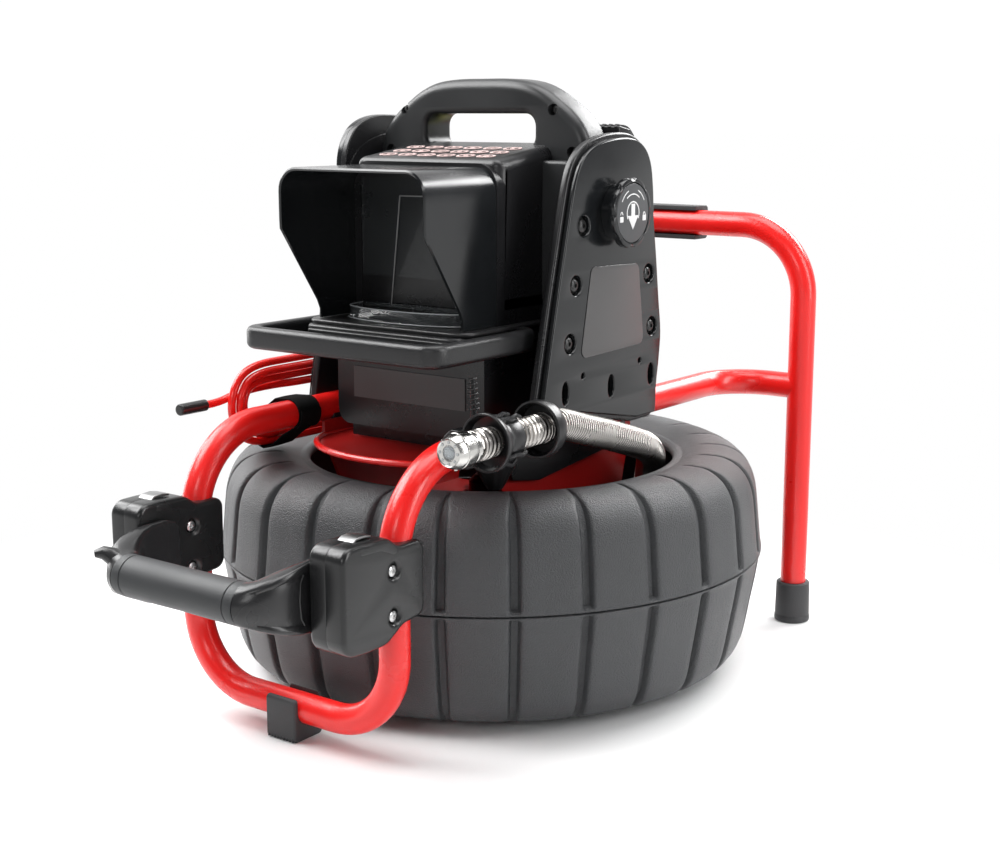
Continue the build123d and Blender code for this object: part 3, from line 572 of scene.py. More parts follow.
def camera_head():
    nose = spot(LEAD_X, NOSE_Y, HEAD_Z)
    shell = lathe([(5.2, 2), (5.3, 0.9), (6.2, 0.7), (8.8, 0.8), (9.3, 0.3), (9.9, 0.5), (10.7, 2),
            (11.7, 4.6), (12.3, 6.6), (12.3, 7.4), (12, 7.6), (12, 8.2), (12.5, 8.5), (12.5, 17.6),
            (12.2, 18.4), (11.2, 18.8), (10.6, 19.6), (10.6, 21.2), (11.2, 21.8), (11.2, 24), (7, 24),
            (5.2, 10)], nose, (0, 1, 0))
    parts = [shell]
    for k in range(3):
        a = tau * (k / 3 + 0.09)
        clip = lathe([(1.3, 11.6), (1.3, 12.9), (0.9, 13.2)], nose + Vector((0, 7.5 * MM, 0)),
                (cos(a), 0, sin(a)), 12)
        parts.append(clip)
    # The slots are not cut. Dark bars laid on the head give them their dark look, as painted shade for the
    # slots' insides.
    slots = [box_at(nose + Vector((12.3 * cos(a), 13, 12.3 * sin(a))) * MM, (1, 6.5, 1.2), -degrees(a))
            for a in (tau * (k + 0.5) / 5 for k in range(5))]
    finish_piece("head_slots", merged("slots", slots), "frame", CAP)
    finish_piece("head_shell", merged("head", parts), "frame", POLISHED, ["camera_head"], smooth=28)
    leds = []
    for a in angles(8):
        centre = nose + Vector((7.4 * cos(a), 0.6, 7.4 * sin(a))) * MM
        leds.append(lathe([(0.3, -0.35), (1, -0.2), (1.25, 0.3), (1.25, 1.2)], centre, (0, 1, 0), 14))
    finish_piece("head_leds", merged("leds", leds), "frame", LENS, ["led_ring"])
    window = lathe([(0.4, 0.3), (2.2, 0.36), (3.8, 0.6), (4.8, 1.2), (4.8, 1.9)], nose, (0, 1, 0), 40)
    finish_piece("head_window", window, "frame", LENS, ["camera_window"])


def guide():
    """Two cups that hold the spring, a waist between them and the strain relief comb."""
    front, rear = spot(LEAD_X, RING_FRONT, HEAD_Z), spot(LEAD_X, RING_REAR, HEAD_Z)
    cup = lathe([(12.5, 9), (17.4, 7), (19, 1), (19.4, 0.2), (20.4, 0), (20.9, 0.6), (20.8, 3.4),
            (19.6, 5.4), (17.4, 8.8), (15.2, 11.2), (14.6, 16.5), (13.2, 17.4), (12.6, 12)], front,
            (0, 1, 0), 72)
    collar = lathe([(12.8, 18), (12.8, 14.2), (14.4, 13.6), (15, 15), (15, 27), (14.6, 28.4), (13, 29),
            (12.6, 24)], front, (0, 1, 0))
    socket = lathe([(12.6, 9.5), (17.4, 8.6), (18.8, 1), (19.4, 0), (20.6, 0), (21.2, 0.8), (21.2, 5),
            (20.5, 5.6), (20.5, 9.6), (19.6, 12.2), (17.8, 13), (12.9, 13), (12.7, 9.6)], rear,
            (0, 1, 0), 72)
    pieces = [cup, collar, socket]
    for angle, high in ((62, 5), (98, 3), (-75, 5.6), (-35, 4)):
        a = radians(angle)
        outward = Vector((cos(a), 0, sin(a)))
        root = front + outward * 14 * MM
        ridge = [root + Vector((0, y * MM, 0)) + outward * (h * MM) for y,
                h in ((8, 3.5), (12, high * 0.9), (18, high * 0.6), (24, high), (30, high * 0.5))]
        pieces.append(sweep(ridge, 1.6, 8))
    finish_piece("guide_cups", merged("guide", pieces), "frame", SATIN, ["guide_rings"], smooth=35)
    foot = plate(rounded([(-184, 203, 5), (-118, 203, 5), (-116, 213, 4), (-126, 223, 4), (-176, 223, 4),
            (-186, 213, 4)]), 111, 9, SIDE, 1.2)
    band = plate(rounded([(85.5, 204, 3), (110, 204, 3), (119, 208, 4), (120, 221, 4), (111, 228, 5),
            (93, 228, 5), (85.5, 221, 5)]), -150, 44, FRONT, 1.5)
    comb = []
    start, finish = spot(109, -165, 236), spot(106, -163, 264)
    for k in range(7):
        centre = start.lerp(finish, 0.25 + 0.75 * k / 6)
        comb.append(box_at(centre, (9 - 0.5 * k, 5, 1.4), 10))
    comb.append(sweep([start, start.lerp(finish, 0.5), finish], lambda s, a: 2.6 - 0.8 * s, 10))
    finish_piece("guide_clamp_body", merged("clamp", [foot, band, *comb]), "frame", SATIN,
            ["guide_clamp"], smooth=35)


def box_at(centre, size, lean=0):
    """A small bar with rounded corners about a centre, leaning about the front axis, in degrees."""
    x, y, z = (s / 2 for s in size)
    bar = plate(rounded([(-x, -y, 1.2), (x, -y, 1.2), (x, y, 1.2), (-x, y, 1.2)], 3), 0, 2 * z, FLAT,
            min(0.5, z * 0.6), steps=2)
    bar.transform(Matrix.Translation((0, -AXIS_Y, 0)))
    bar.transform(Matrix.Translation(centre) @ Matrix.Rotation(radians(-lean), 4, "Y"))
    return bar


# ---------------------------------------------------------------- handle
PIVOT_Y, PIVOT_Z, GRIP_Y = -288, 135, -340
SWEPT_R, SWEPT_X = 54, 81.2                # arms stay inside x 81.2 within 54 mm of the pivot
BLOCK_TALL = 0.93                            # the blocks as seen, over their CAD height
BLOCK_SCREWS = (PIVOT_Z + 12.5, PIVOT_Z - 19)


def block_halves():
    outline = rounded([(-308, 175, 24), (-286, 175.5, 30), (-262, 174.5, 16), (-251, 166, 12),
            (-225, 166.5, 8), (-225, 108, 9), (-247, 106, 14), (-264, 95, 16), (-282, 94.5, 30),
            (-308, 96, 27)])
    outline = [Vector((y, PIVOT_Z + (z - PIVOT_Z) * BLOCK_TALL)) for y, z in outline]
    screws = [ring_outline(-257, z, 4.7) for z in BLOCK_SCREWS]
    for side, word in ((-1, "left"), (1, "right")):
        seen = "outer" if side > 0 else "inner"
        for half, x0, x1 in (("inner", 82, 100.2), ("outer", 95, 113)):
            holes = screws if half == seen else []
            body = plate(outline, side * (x0 + x1) / 2, x1 - x0, SIDE, 3.6, holes, 4)
            lip_x = side * (x1 - 0.6 if half == "outer" else x0 + 0.6)
            lip = rounded([(-291, 172.8, 3), (-262, 172, 5), (-252, 163.6, 5), (-256, 160.5, 3),
                    (-270, 166.5, 8), (-291, 167.5, 3)])
            lip = [Vector((y, PIVOT_Z + (z - PIVOT_Z) * BLOCK_TALL)) for y, z in lip]
            finish_piece(f"{word}_{half}_shell", merged("half",
                    [body, plate(lip, lip_x, 1.6, SIDE, 0.7)]), "frame", BLOCK, [f"{word}_block_{half}"],
                    smooth=40)


def latch_tabs():
    tabs = []
    for side in (-1, 1):
        for z, flip in ((PIVOT_Z + 39.6 * BLOCK_TALL, 1), (PIVOT_Z - 39.6 * BLOCK_TALL, -1)):
            curl = [(-290, z - flip * 3.4), (-288.4, z + flip * 0.6), (-285, z + flip * 2.9),
                    (-277.5, z + flip * 3.4), (-270.6, z + flip * 2.2), (-270.8, z + flip * 0.8),
                    (-278, z + flip * 1.6), (-284.4, z + flip * 1.2), (-287, z - flip * 0.8),
                    (-288.6, z - flip * 3.8)]
            tabs.append(plate([Vector(p) for p in curl][::flip], side * 97.5, 13.5, SIDE, 0.25, steps=2))
    finish_piece("latch_plates", merged("tabs", tabs), "frame", TAB_STEEL, ["latch_tabs"], smooth=30)


def handle_arm(side, word):
    """Flared arm: round at the grip, opening to a tall paddle with a flange round a hollow web."""
    stations = [(56, GRIP_Y, 14.8, 14.8, 0), (60, GRIP_Y + 0.8, 14.7, 15.2, 0.1),
            (65, GRIP_Y + 3.5, 14, 16.6, 0.3), (70, GRIP_Y + 9, 12.6, 18.8, 0.6),
            (74, GRIP_Y + 17, 10.4, 21.2, 0.85), (76.6, GRIP_Y + 27, 7.6, 23.4, 1),
            (77.4, GRIP_Y + 38, 4.4, 24.6, 1), (77.6, GRIP_Y + 52, 3.6, 24.9, 1),
            (77.6, GRIP_Y + 61, 3.4, 22, 1), (77.6, GRIP_Y + 64, 2.4, 18, 1)]
    rows = []
    for i, (x, y, half_deep, half_tall, square) in enumerate(stations):
        here = Vector((x, y))
        ahead = Vector(stations[min(i + 1, 9)][:2]) - Vector(stations[max(i - 1, 0)][:2])
        ahead.normalize()
        normal = Vector((ahead.y, -ahead.x))
        row = []
        for a in angles(40):
            power = 1 - 0.62 * square
            c, s = cos(a), sin(a)
            deep = half_deep * copysign(abs(c) ** power, c)
            tall = half_tall * copysign(abs(s) ** (1 - 0.35 * square), s)
            hollow = 0.50 * square * half_deep * ease(1 - abs(s), 0.22, 0.42) * (1 if c > 0 else 0)
            place = here + normal * (deep - hollow)
            if hypot(place.y - PIVOT_Y, tall) < SWEPT_R:
                place.x = min(place.x, SWEPT_X)
            row.append(spot(side * place.x, place.y, PIVOT_Z + tall))
        rows.append(row if side > 0 else row[::-1])
    web = skin(rows)
    pin = lathe([(4.9, -2), (5, 0), (5, 27), (4.4, 27.5)], spot(side * 77, PIVOT_Y, PIVOT_Z),
            (side, 0, 0), 24)
    rib = sweep([spot(side * 66.5, GRIP_Y - 5, PIVOT_Z + 1),
            spot(side * 73.5, GRIP_Y + 2, PIVOT_Z + 0.5), spot(side * 78.5, GRIP_Y + 16, PIVOT_Z)],
            lambda s, a: 2.2 - 0.9 * s, 10)
    frame_line = [(GRIP_Y + 30, 17), (GRIP_Y + 27, 12), (GRIP_Y + 26, 0), (GRIP_Y + 27, -12),
            (GRIP_Y + 30, -17)]
    flange = sweep([spot(side * 80.4, y, PIVOT_Z + z) for y, z in frame_line], 0.8, 8)
    rib = merged("rib", [rib, flange])
    if side < 0:
        lug = sweep([spot(-64, GRIP_Y - 1, PIVOT_Z + 8), spot(-70, GRIP_Y - 3, PIVOT_Z + 12),
                spot(-75, GRIP_Y - 6, PIVOT_Z + 14), spot(-79, GRIP_Y - 10, PIVOT_Z + 13.5)], lambda s,
                a: 7 - 3.2 * s * s - 1.2 * s, 16)
        rib = merged("rib", [rib, lug])
    finish_piece(f"{word}_arm_shell", merged("arm", [web, pin, rib]), "carry_handle", ARM,
            [f"handle_arm_{word}"], smooth=46)


def carry_grip():
    profile = [(13.4, -58.2), (14.6, -58), (14.8, -57.2), (14.8, -50.7), (14.2, -50.3), (14.2, -49.7),
            (14.8, -49.3), (14.7, -30), (14.5, 0), (14.7, 30), (14.8, 49.3), (14.2, 49.7), (14.2, 50.3),
            (14.8, 50.7), (14.8, 57.2), (14.6, 58), (13.4, 58.2)]
    grip = lathe(profile, spot(0, GRIP_Y, PIVOT_Z), (1, 0, 0), 64)
    finish_piece("grip_sleeve", grip, "carry_handle", GRIP, ["carry_grip"], smooth=35)


# ---------------------------------------------------------------- dock
DOCK_X, COVER_T, CHEEK_T = 117, 5, 6.5
KNOB_Y, KNOB_Z, KNOB_FACE_X = 3.4, 372, 132.5
COVER_SCREWS = [(-40, 363.8), (-50, 320.2), (-57.3, 277), (53, 321.4), (59, 278.6)]


def cover_outline(grow=0):
    """Side view of the dock's cover: a flared foot, slanted edges and a rounded head leaning back."""
    front = [(-96, 211.5), (-92.5, 231), (-88.6, 249), (-74.3, 310), (-66.8, 340), (-59.2, 371),
            (-52.5, 395), (-43.5, 411), (-27.6, 421.5), (-3, 427), (25, 427.5), (43, 421.5), (53.5, 409),
            (58, 389), (60.2, 362), (64.5, 335), (69.5, 300), (73.4, 273), (71.5, 250), (68.5, 232),
            (67.5, 212)]
    line = [Vector(p) for p in through(front, 4)]
    foot = rounded([(67.5, 212, 0), (67, 207, 3), (38, 207, 6), (-48, 224, 10), (-60, 211.5, 6),
            (-96, 211.5, 0)], 4)[1:-1]
    return grown((line + foot)[::-1], grow)[::-1] if grow else line + foot


def dock():
    outline = cover_outline()
    ear = [Vector(p) for p in through([(-56.5, 385), (-57, 402), (-55.5, 414), (-51, 425), (-43, 434.5),
            (-31, 441), (-16, 444.5), (2, 445), (24, 443), (42, 436), (54, 423), (58, 405), (58, 385)],
            4)]
    holes = [ring_outline(y, z, 7.4) for y, z in COVER_SCREWS]
    holes += [ring_outline(y, z, 4.2, 2.1) for y, z in ((-63, 240), (0, 237.5), (59, 239.5))]
    holes += [ring_outline(y, z, 2.2) for y, z in ((41.6, 252.5), (-39.5, 250.5))]
    for side, word in ((-1, "left"), (1, "right")):
        cover = plate(outline, side * (DOCK_X - COVER_T / 2), COVER_T, SIDE, 1.5, holes, 4)
        if side < 0:
            cover = merged("cover", [cover, plate(ear, side * (DOCK_X - 3.9), 6.2, SIDE, 1.2)])
        finish_piece(f"{word}_cover_plate", cover, "frame", GLOSS, [f"dock_{word}_cover"], smooth=35)
        cheek = plate(cover_outline(4), side * (DOCK_X - COVER_T - CHEEK_T / 2), CHEEK_T, SIDE, 2, (), 4)
        if side < 0:
            cheek = merged("cheek", [cheek, plate(ear, side * 108.5, 5.6, SIDE, 1)])
        finish_piece(f"{word}_cheek_plate", cheek, "frame", SATIN, [f"dock_{word}_cheek"], smooth=35)
    heads = []
    for side in (-1, 1):
        for y, z in COVER_SCREWS:
            base = spot(side * (DOCK_X - COVER_T), y, z)
            heads.append(lathe([(7, 0), (7, 0.6), (5.6, 0.8), (5.4, 2.2), (4.6, 3.5), (3, 4.2),
                    (1.7, 4.4), (1.6, 3), (0.2, 2.9)], base, (side, 0, 0), 28))
    finish_piece("cover_screw_heads", merged("heads", heads), "frame", (CAP[0], "steel"),
            ["dock_cover_screws"], smooth=40)
    labels = []
    for side in (-1, 1):
        patch = rounded([(-30, 332.7, 6), (36.4, 330.6, 6), (45.7, 266.4, 6), (-43.8, 264.1, 6)])
        labels.append(plate(patch, side * (DOCK_X + 0.3), 0.7, SIDE, 0.3, steps=2))
    finish_piece("side_labels", merged("labels", labels), "frame", LABEL, ["dock_side_labels"])
    back_and_seat()


def back_and_seat():
    half = DOCK_X - COVER_T - CHEEK_T
    inner = [(24, 428), (35, 423), (46, 409), (51, 388), (56, 372), (66, 300), (66, 226)]
    outer = [(74, 226), (74, 300), (64, 368), (60.5, 392), (54, 418), (40, 434), (24, 437)]
    outline = rounded([(y, z, 14 if 0 < i % 7 < 5 else 1.5) for i, (y, z) in enumerate(inner + outer)], 5)
    ends = [plate(outline[::-1], side * (start + half) / 2, half - start, SIDE, 1) for side,
            start in ((-1, 86), (1, 62))]
    low = [p if p[1] < 419 else Vector((p[0], 419)) for p in outline]
    ends.append(plate(low[::-1], -12, 148.4, SIDE, 0.6))
    for x in (-101, -96, -91, 66, 72, 78, 84, 90, 96, 102):
        rib = [Vector((y + 2.2, z + 1.2)) for y, z in through(outer[::-1][:5], 5)]
        rib += [Vector((y - 1, z - 1)) for y, z in through(outer[::-1][:5], 5)][::-1]
        ends.append(plate(rib, x, 3, SIDE, 0.4, steps=2))
    finish_piece("back_panel_shell", merged("back", ends), "frame", SATIN, ["dock_back_panel"], smooth=35)
    strip = plate(rounded([(-60, 27, 2), (60, 27, 2), (60, 41, 2), (-60, 41, 2)]), 419.6, 1.6, FLAT, 0.5)
    finish_piece("back_panel_strip", strip, "frame", LIME)


def lock_knob():
    middle = spot(0, KNOB_Y, KNOB_Z)
    rows = []
    for x, r, wave in ((DOCK_X + 0.3, 21.5, 0), (DOCK_X + 7.4, 21.5, 0), (DOCK_X + 8.4, 24.6, 1),
            (DOCK_X + 9.6, 26.6, 1), (KNOB_FACE_X - 2.2, 27, 1), (KNOB_FACE_X - 0.6, 26.2, 1),
            (KNOB_FACE_X, 24.6, 0.6), (KNOB_FACE_X - 0.2, 23.2, 0), (KNOB_FACE_X - 1.2, 22.6, 0),
            (KNOB_FACE_X - 1.4, 4, 0)):
        row = []
        for a in angles(96):
            dip = 1.5 * wave * (0.5 + 0.5 * cos(8 * a)) ** 3
            row.append(middle + Vector((x, (r - dip) * cos(a), (r - dip) * sin(a))) * MM)
        rows.append(row)
    finish_piece("knob_body", skin(rows), "lock_knob", (GLOSS[0], "satin_black"), ["lock_knob"],
            smooth=35)
    face = KNOB_FACE_X - 0.75
    disc = plate(ring_outline(KNOB_Y, KNOB_Z, 22.3, steps=64), face, 0.9, SIDE, 0.3, steps=2)
    finish_piece("knob_dial_face", disc, "lock_knob", DIAL, ["lock_knob_dial"])
    knob_marks(face + 0.55)


def knob_marks(x):
    """Generic printed marks: a turning arrow, a ring round it, and a small padlock at each side."""
    y, z = KNOB_Y, KNOB_Z
    marks = []
    arrow = [(y - 2.6, z + 7), (y - 2.6, z - 2), (y - 7.4, z - 2), (y, z - 12.5), (y + 7.4, z - 2),
            (y + 2.6, z - 2), (y + 2.6, z + 7)]
    marks.append([Vector(p) for p in arrow])

    def arc(radius, start, end, width):
        span = [radians(start + (end - start) * k / 16) for k in range(17)]
        outer = [Vector((y + (radius + width) * cos(a), z + (radius + width) * sin(a))) for a in span]
        inner = [Vector((y + radius * cos(a), z + radius * sin(a))) for a in span[::-1]]
        return outer + inner

    marks += [arc(8, -30, 210, 1), arc(13.8, 52, 128, 0.9), arc(17.6, 112, 150, 0.8),
            arc(17.6, 30, 68, 0.8)]
    for side in (-1, 1):
        cy = y + side * 16
        marks.append(rounded([(cy - 2.4, z - 6.4, 0.6), (cy + 2.4, z - 6.4, 0.6),
                (cy + 2.4, z - 2.2, 0.6), (cy - 2.4, z - 2.2, 0.6)]))
        lift = 1.2 if side < 0 else 0
        ring = [Vector((cy + 1.9 * cos(a), z - 2.2 + lift + 2.6 * sin(a))) for a
                in (pi * k / 10 for k in range(11))]
        ring += [Vector((cy + 1.1 * cos(a), z - 2.2 + lift + 1.8 * sin(a))) for a
                in (pi * (10 - k) / 10 for k in range(11))]
        marks.append(ring)
    printed = [plate(m, x, 0.18, SIDE, 0.03, steps=1) for m in marks]
    finish_piece("knob_print", merged("print", printed), "lock_knob", MARK)


# ---------------------------------------------------------------- monitor
HOOD_HALF, HOOD_FRONT_Y, HOOD_REAR_Y, BODY_REAR_Y = 71, -170, -88, -30
HOOD_TOP_Z, HOOD_FLOOR_Z = 407.5, 290
ARCH_FRONT_Y, ARCH_REAR_Y, ARCH_TOP_Z = -18, 18, 473


def sun_hood():
    """Thin three-sided hood whose sides are cut back at a slant towards the tray."""
    half, corner = HOOD_HALF, 18
    section = [(-half, HOOD_FLOOR_Z + 0.5 + k * (HOOD_TOP_Z - corner - HOOD_FLOOR_Z) / 14) for k
            in range(14)]
    for k in range(9):
        a = pi - pi / 2 * k / 8
        section.append((-half + corner + corner * cos(a), HOOD_TOP_Z - corner + corner * sin(a)))
    section += [(-half + corner + (half - corner) * k / 5, HOOD_TOP_Z) for k in range(1, 6)]
    section += [(-x, z) for x, z in section[-2::-1]]

    def front_edge(z):
        if z > 362:
            return HOOD_FRONT_Y + 1.6 * ease(z, 362, 300)
        if z > 300:
            return HOOD_FRONT_Y + 42 * (362 - z) / 62
        return HOOD_FRONT_Y + 42

    wall = 2.6
    rows = []
    for inner in (False, True):
        layer = []
        for x, z in section:
            if inner:
                up = max(min((z - (HOOD_TOP_Z - corner)) / corner, 1), 0)
                x = x - copysign(wall * sqrt(max(1 - up * up, 0)), x) if abs(x) > half - corner else x
                z = z - wall * up
            edge = front_edge(z)
            spanned = [spot(x, HOOD_REAR_Y + (edge - HOOD_REAR_Y) * t, z) for t
                    in (0, 0.04, 0.5, 0.94, 0.985, 1)]
            layer.append(spanned)
        rows.append(layer)
    loops = []
    for outer_run, inner_run in zip(*rows):
        lip_out, lip_in = outer_run[-1], inner_run[-1]
        rounding = (lip_out + lip_in) / 2 + Vector((0, -0.9 * MM, 0))
        loops.append(outer_run + [rounding] + inner_run[::-1])
    mesh = skin(loops, around=True, caps=True)
    finish_piece("hood_shell", mesh, "monitor", GLOSS, ["sun_hood"], smooth=40)


def arch_outline(grow=0):
    half = [(0, ARCH_TOP_Z), (24, ARCH_TOP_Z - 0.2), (44, ARCH_TOP_Z - 2.4), (60, ARCH_TOP_Z - 8),
            (74, ARCH_TOP_Z - 16.5), (87, ARCH_TOP_Z - 26), (97, ARCH_TOP_Z - 37),
            (102.5, ARCH_TOP_Z - 50), (104, ARCH_TOP_Z - 64), (104, 370)]
    line = [Vector(p) for p in through(half, 5)] + [Vector((104, 320)), Vector((97, 302.5))]
    return line + [Vector((-p.x, p.y)) for p in line[:0:-1]]


def rear_case():
    """The arched handle and the case under it, with counterbored screws."""
    outline = arch_outline()[::-1]
    arch = plate(outline, (ARCH_FRONT_Y + ARCH_REAR_Y) / 2, ARCH_REAR_Y - ARCH_FRONT_Y, FRONT, 9, (), 6)
    places = ((-90, 417), (90, 417), (-76, 450), (72, 449))
    bores = [lathe([(4.4, -3), (4.4, 7.5)], spot(x, ARCH_FRONT_Y, z), (0, 1, 0), 28) for x, z in places]
    opening = rounded([(-54, 420, 9), (54, 420, 9), (54, 446, 10), (-54, 446, 10)])
    flare, depth = 5, ARCH_REAR_Y - ARCH_FRONT_Y
    rows = []
    for along in [-1, *(flare * k / 7 for k in range(8)),
            *(depth - flare + flare * k / 7 for k in range(8)), depth + 1]:
        near = flare - min(max(min(along, depth - along), 0), flare)
        out = flare - sqrt(flare ** 2 - near ** 2)
        rows.append([spot(p.x, ARCH_FRONT_Y + along, p.y) for p in grown(opening, out)])
    arch = carve(arch, [*bores, skin(rows)])
    skirt = plate(rounded([(-103.8, 302.5, 3), (-103.8, 411, 14), (103.8, 411, 14),
            (103.8, 302.5, 3)][::-1]), (BODY_REAR_Y + ARCH_FRONT_Y) / 2 + 2,
            ARCH_FRONT_Y - BODY_REAR_Y + 4, FRONT, 3, (), 3)
    # The arched case takes the lighter black, which is painted sheen.
    finish_piece("rear_case_shell", merged("case", [arch, skirt]), "monitor", CASE_SHEEN,
            ["monitor_rear_case"], smooth=40)
    heads = [lathe([(3.6, 3), (3.6, 0.4), (3, 0), (1.4, 0), (1.3, 1.4), (0.2, 1.4)],
            spot(x, ARCH_FRONT_Y + 5, z), (0, 1, 0), 24) for x, z in places]
    finish_piece("rear_case_screw_heads", merged("heads", heads), "monitor", DARK_STEEL,
            ["rear_case_screws"])


KEY_FRONT, KEY_REAR = (-84, 412.5), (-19, 422)     # (y, z) of the sloping key panel's edges


def keypad():
    """Sloping key panel with printed membrane keys: rings with a small mark in each."""
    wedge = rounded([(KEY_FRONT[0] - 3.7, 300, 1), (KEY_REAR[0] + 12, 300, 1),
            (KEY_REAR[0] + 12, KEY_REAR[1] + 1.8, 1), (KEY_FRONT[0], KEY_FRONT[1], 6)], 6)
    panel = plate(wedge, 0, 2 * HOOD_HALF + 1.2, SIDE, 9, steps=7)
    finish_piece("key_panel", panel, "monitor", (SATIN[0], "gloss_black"), ["keypad_panel"], smooth=35)
    slope = atan2(KEY_REAR[1] - KEY_FRONT[1], KEY_REAR[0] - KEY_FRONT[0])
    keys = []
    for row in range(3):
        for column in range(6):
            x, y = -48 + 19.2 * column, KEY_FRONT[0] + 14 + 17 * row
            outer = rounded([(x - 8, y - 5, 5), (x + 8, y - 5, 5), (x + 8, y + 5, 5), (x - 8, y + 5, 5)],
                    5)
            inner = rounded([(x - 6, y - 3, 3), (x + 6, y - 3, 3), (x + 6, y + 3, 3), (x - 6, y + 3, 3)],
                    5)
            keys.append(plate(outer, 0.3, 0.6, FLAT, 0.15, [inner], steps=1))
            mark = ring_outline(x, y, 1.6 + 0.5 * ((row + column) % 3), 0.8, 10)
            keys.append(plate(mark, 0.25, 0.5, FLAT, 0.1, steps=1))
    mesh = merged("keys", keys)
    hinge = spot(0, *KEY_FRONT)
    mesh.transform(Matrix.Translation(hinge) @ Matrix.Rotation(slope, 4,
            "X") @ Matrix.Translation((0, -hinge.y, 0)))
    finish_piece("membrane_keys", mesh, "monitor", KEY, ["keypad_keys"])


def tray():
    outline = rounded([(-96, -192, 16), (96, -192, 16), (96, -63, 16), (-96, -63, 16)], 8)
    inset = rounded([(-85, -181, 9), (85, -181, 9), (85, -74, 9), (-85, -74, 9)], 8)
    ring = plate(outline, 280, 17, FLAT, 4.6, [inset], 5)
    finish_piece("tray_bumper", ring, "monitor", TRAY, ["tray_ring"], smooth=40)
    floor = box_piece(-84.8, 84.8, -180.8, -63, 273.6, 276.6, 8, 0.8)
    step = box_piece(-75, 75, -143, BODY_REAR_Y - 0.2, 276, 286.6, 10, 2)
    deck = box_piece(-79.5, 79.5, -137, BODY_REAR_Y - 0.2, 286.2, 290, 14, 1.6)
    ledge = box_piece(-68, 68, -146.5, -130, 276, 284, 3, 1.2)
    finish_piece("tray_deck", merged("tray", [floor, step, deck, ledge]), "monitor", TRAY,
            ["tray_floor"], smooth=40)


def strap():
    """Hook-and-loop strap pulled round the left arm and the cable's lower strands."""
    centre, radius = Vector((-97.5, 212)), 11.15
    loop = [centre + Vector((cos(a), sin(a))) * radius for a
            in (radians(-62 + 152 * k / 14) for k in range(15))]
    loop += [Vector(p) for p in ((-112, 222.2), (-124, 213.5), (-131.6, 207), (-133.2, 200),
            (-133.2, 188), (-131.5, 182.6), (-127, 181.3), (-118, 184.5), (-106, 194))]
    spans = [(-138 + 24 * k / 12, 0.35 * sin(pi * k / 12)) for k in range(13)]
    outer = [[spot(p.x, y, p.y) for p in grown(loop, 1 + bow)] for y, bow in spans]
    inner = [[spot(p.x, y, p.y) for p in grown(loop, 0.1)] for y, _ in spans]
    mesh = skin(outer + inner[::-1], closed=True, caps=False)
    flap = [centre + Vector((cos(a), sin(a))) * (radius + 1.5) for a
            in (radians(-58 + 74 * k / 10) for k in range(11))]
    under, top = grown(flap, 0, False), grown(flap, 1.2, False)
    lines = (-137, -131, -121, -115)
    over = skin([[spot(p.x, y, p.y) for p in under] for y in lines]
            + [[spot(p.x, y, p.y) for p in top] for y in lines[::-1]], around=False, closed=True,
            caps=False)
    finish_piece("hook_and_loop_strap", merged("strap", [mesh, over]), "frame", STRAP, ["cable_strap"],
            smooth=60)


def grown(loop, amount, joined=True):
    """An outline pushed outwards."""
    out = []
    count = len(loop)
    for i, p in enumerate(loop):
        before = loop[i - 1] if joined or i else loop[0]
        after = loop[(i + 1) % count] if joined or i < count - 1 else loop[-1]
        run = (after - before).normalized()
        out.append(p + Vector((run.y, -run.x)) * amount)
    return out


def screws():
    heads = []
    for side in (-1, 1):
        face = 113 if side > 0 else -82
        for z in BLOCK_SCREWS:
            base = spot(face - 4.4, -257, z)
            heads.append(lathe([(4.3, 0), (4.3, 1.4), (3.8, 2.6), (2.6, 3.1), (1.5, 3.2), (1.2, 2.2),
                    (0.2, 2.2)], base, (1, 0, 0), 28))
    finish_piece("block_screw_heads", merged("heads", heads), "frame", STEEL, ["block_screws"])


TUBE_R = 11.05                               # the frame tube, with a little room


def feet():
    boots = []
    for side in (-1, 1):
        boots.append(lathe([(0.5, 0), (13.6, 0), (15.2, 0.8), (15.5, 2.2), (15.4, 5.2), (14.9, 6.2),
                (15.1, 7.4), (14.7, 30), (14.5, 35), (13.6, 36), (11.1, 36), (11.05, 20)],
                spot(side * 170, 222, 0), (0, 0, 1), 48))
    finish_piece("rear_boots", merged("boots", boots), "frame", RUBBER, ["rear_feet"], smooth=35)
    loop_y, loop_z, deep = -240, 23, 14.6
    outline = rounded([(loop_y - deep, 32.5, 3.2), (loop_y - deep, 0, 3.2), (loop_y + deep, 0, 3.2),
            (loop_y + deep, 32.5, 3.2)], 5)
    tube = lathe([(TUBE_R, -20), (TUBE_R, 20)], spot(0, loop_y, loop_z), (1, 0, 0), 64)
    mouth = box_piece(-20, 20, loop_y - TUBE_R, loop_y + TUBE_R, loop_z, 40, 0.3, 0.2)
    body = carve(carve(plate(outline, 0, 29, SIDE, 2, steps=4), [tube]), [mouth])
    ribs = [box_piece(-12 + 3 * k - 0.6, -12 + 3 * k + 0.6, loop_y - 14.9, loop_y - 13.5, 0.8, 3.4, 0.3,
            0.2) for k in range(9)]
    finish_piece("front_foot_saddle", merged("saddle", [body, *ribs]), "frame", RUBBER,
            ["front_foot_clip"], smooth=35)


def bar_pad():
    bar_y, bar_z, outer = 222, 350, 14.8
    arc = [Vector((bar_y + TUBE_R * cos(a), bar_z + TUBE_R * sin(a))) for a
            in (pi / 2 - pi * k / 16 for k in range(17))]
    shell = [Vector((bar_y - 8, bar_z + TUBE_R))] + arc + [Vector((bar_y - 8, bar_z - TUBE_R))]
    shell += rounded([(bar_y - 8, bar_z - outer, 0.8), (bar_y + outer, bar_z - outer, 4),
            (bar_y + outer, bar_z + outer, 4), (bar_y - 8, bar_z + outer, 0.8)], 5)
    pad = plate(shell, 0, 132, SIDE, 0.5, steps=2)
    finish_piece("rear_bar_saddle", pad, "frame", RUBBER, ["rear_bar_pad"], smooth=35)


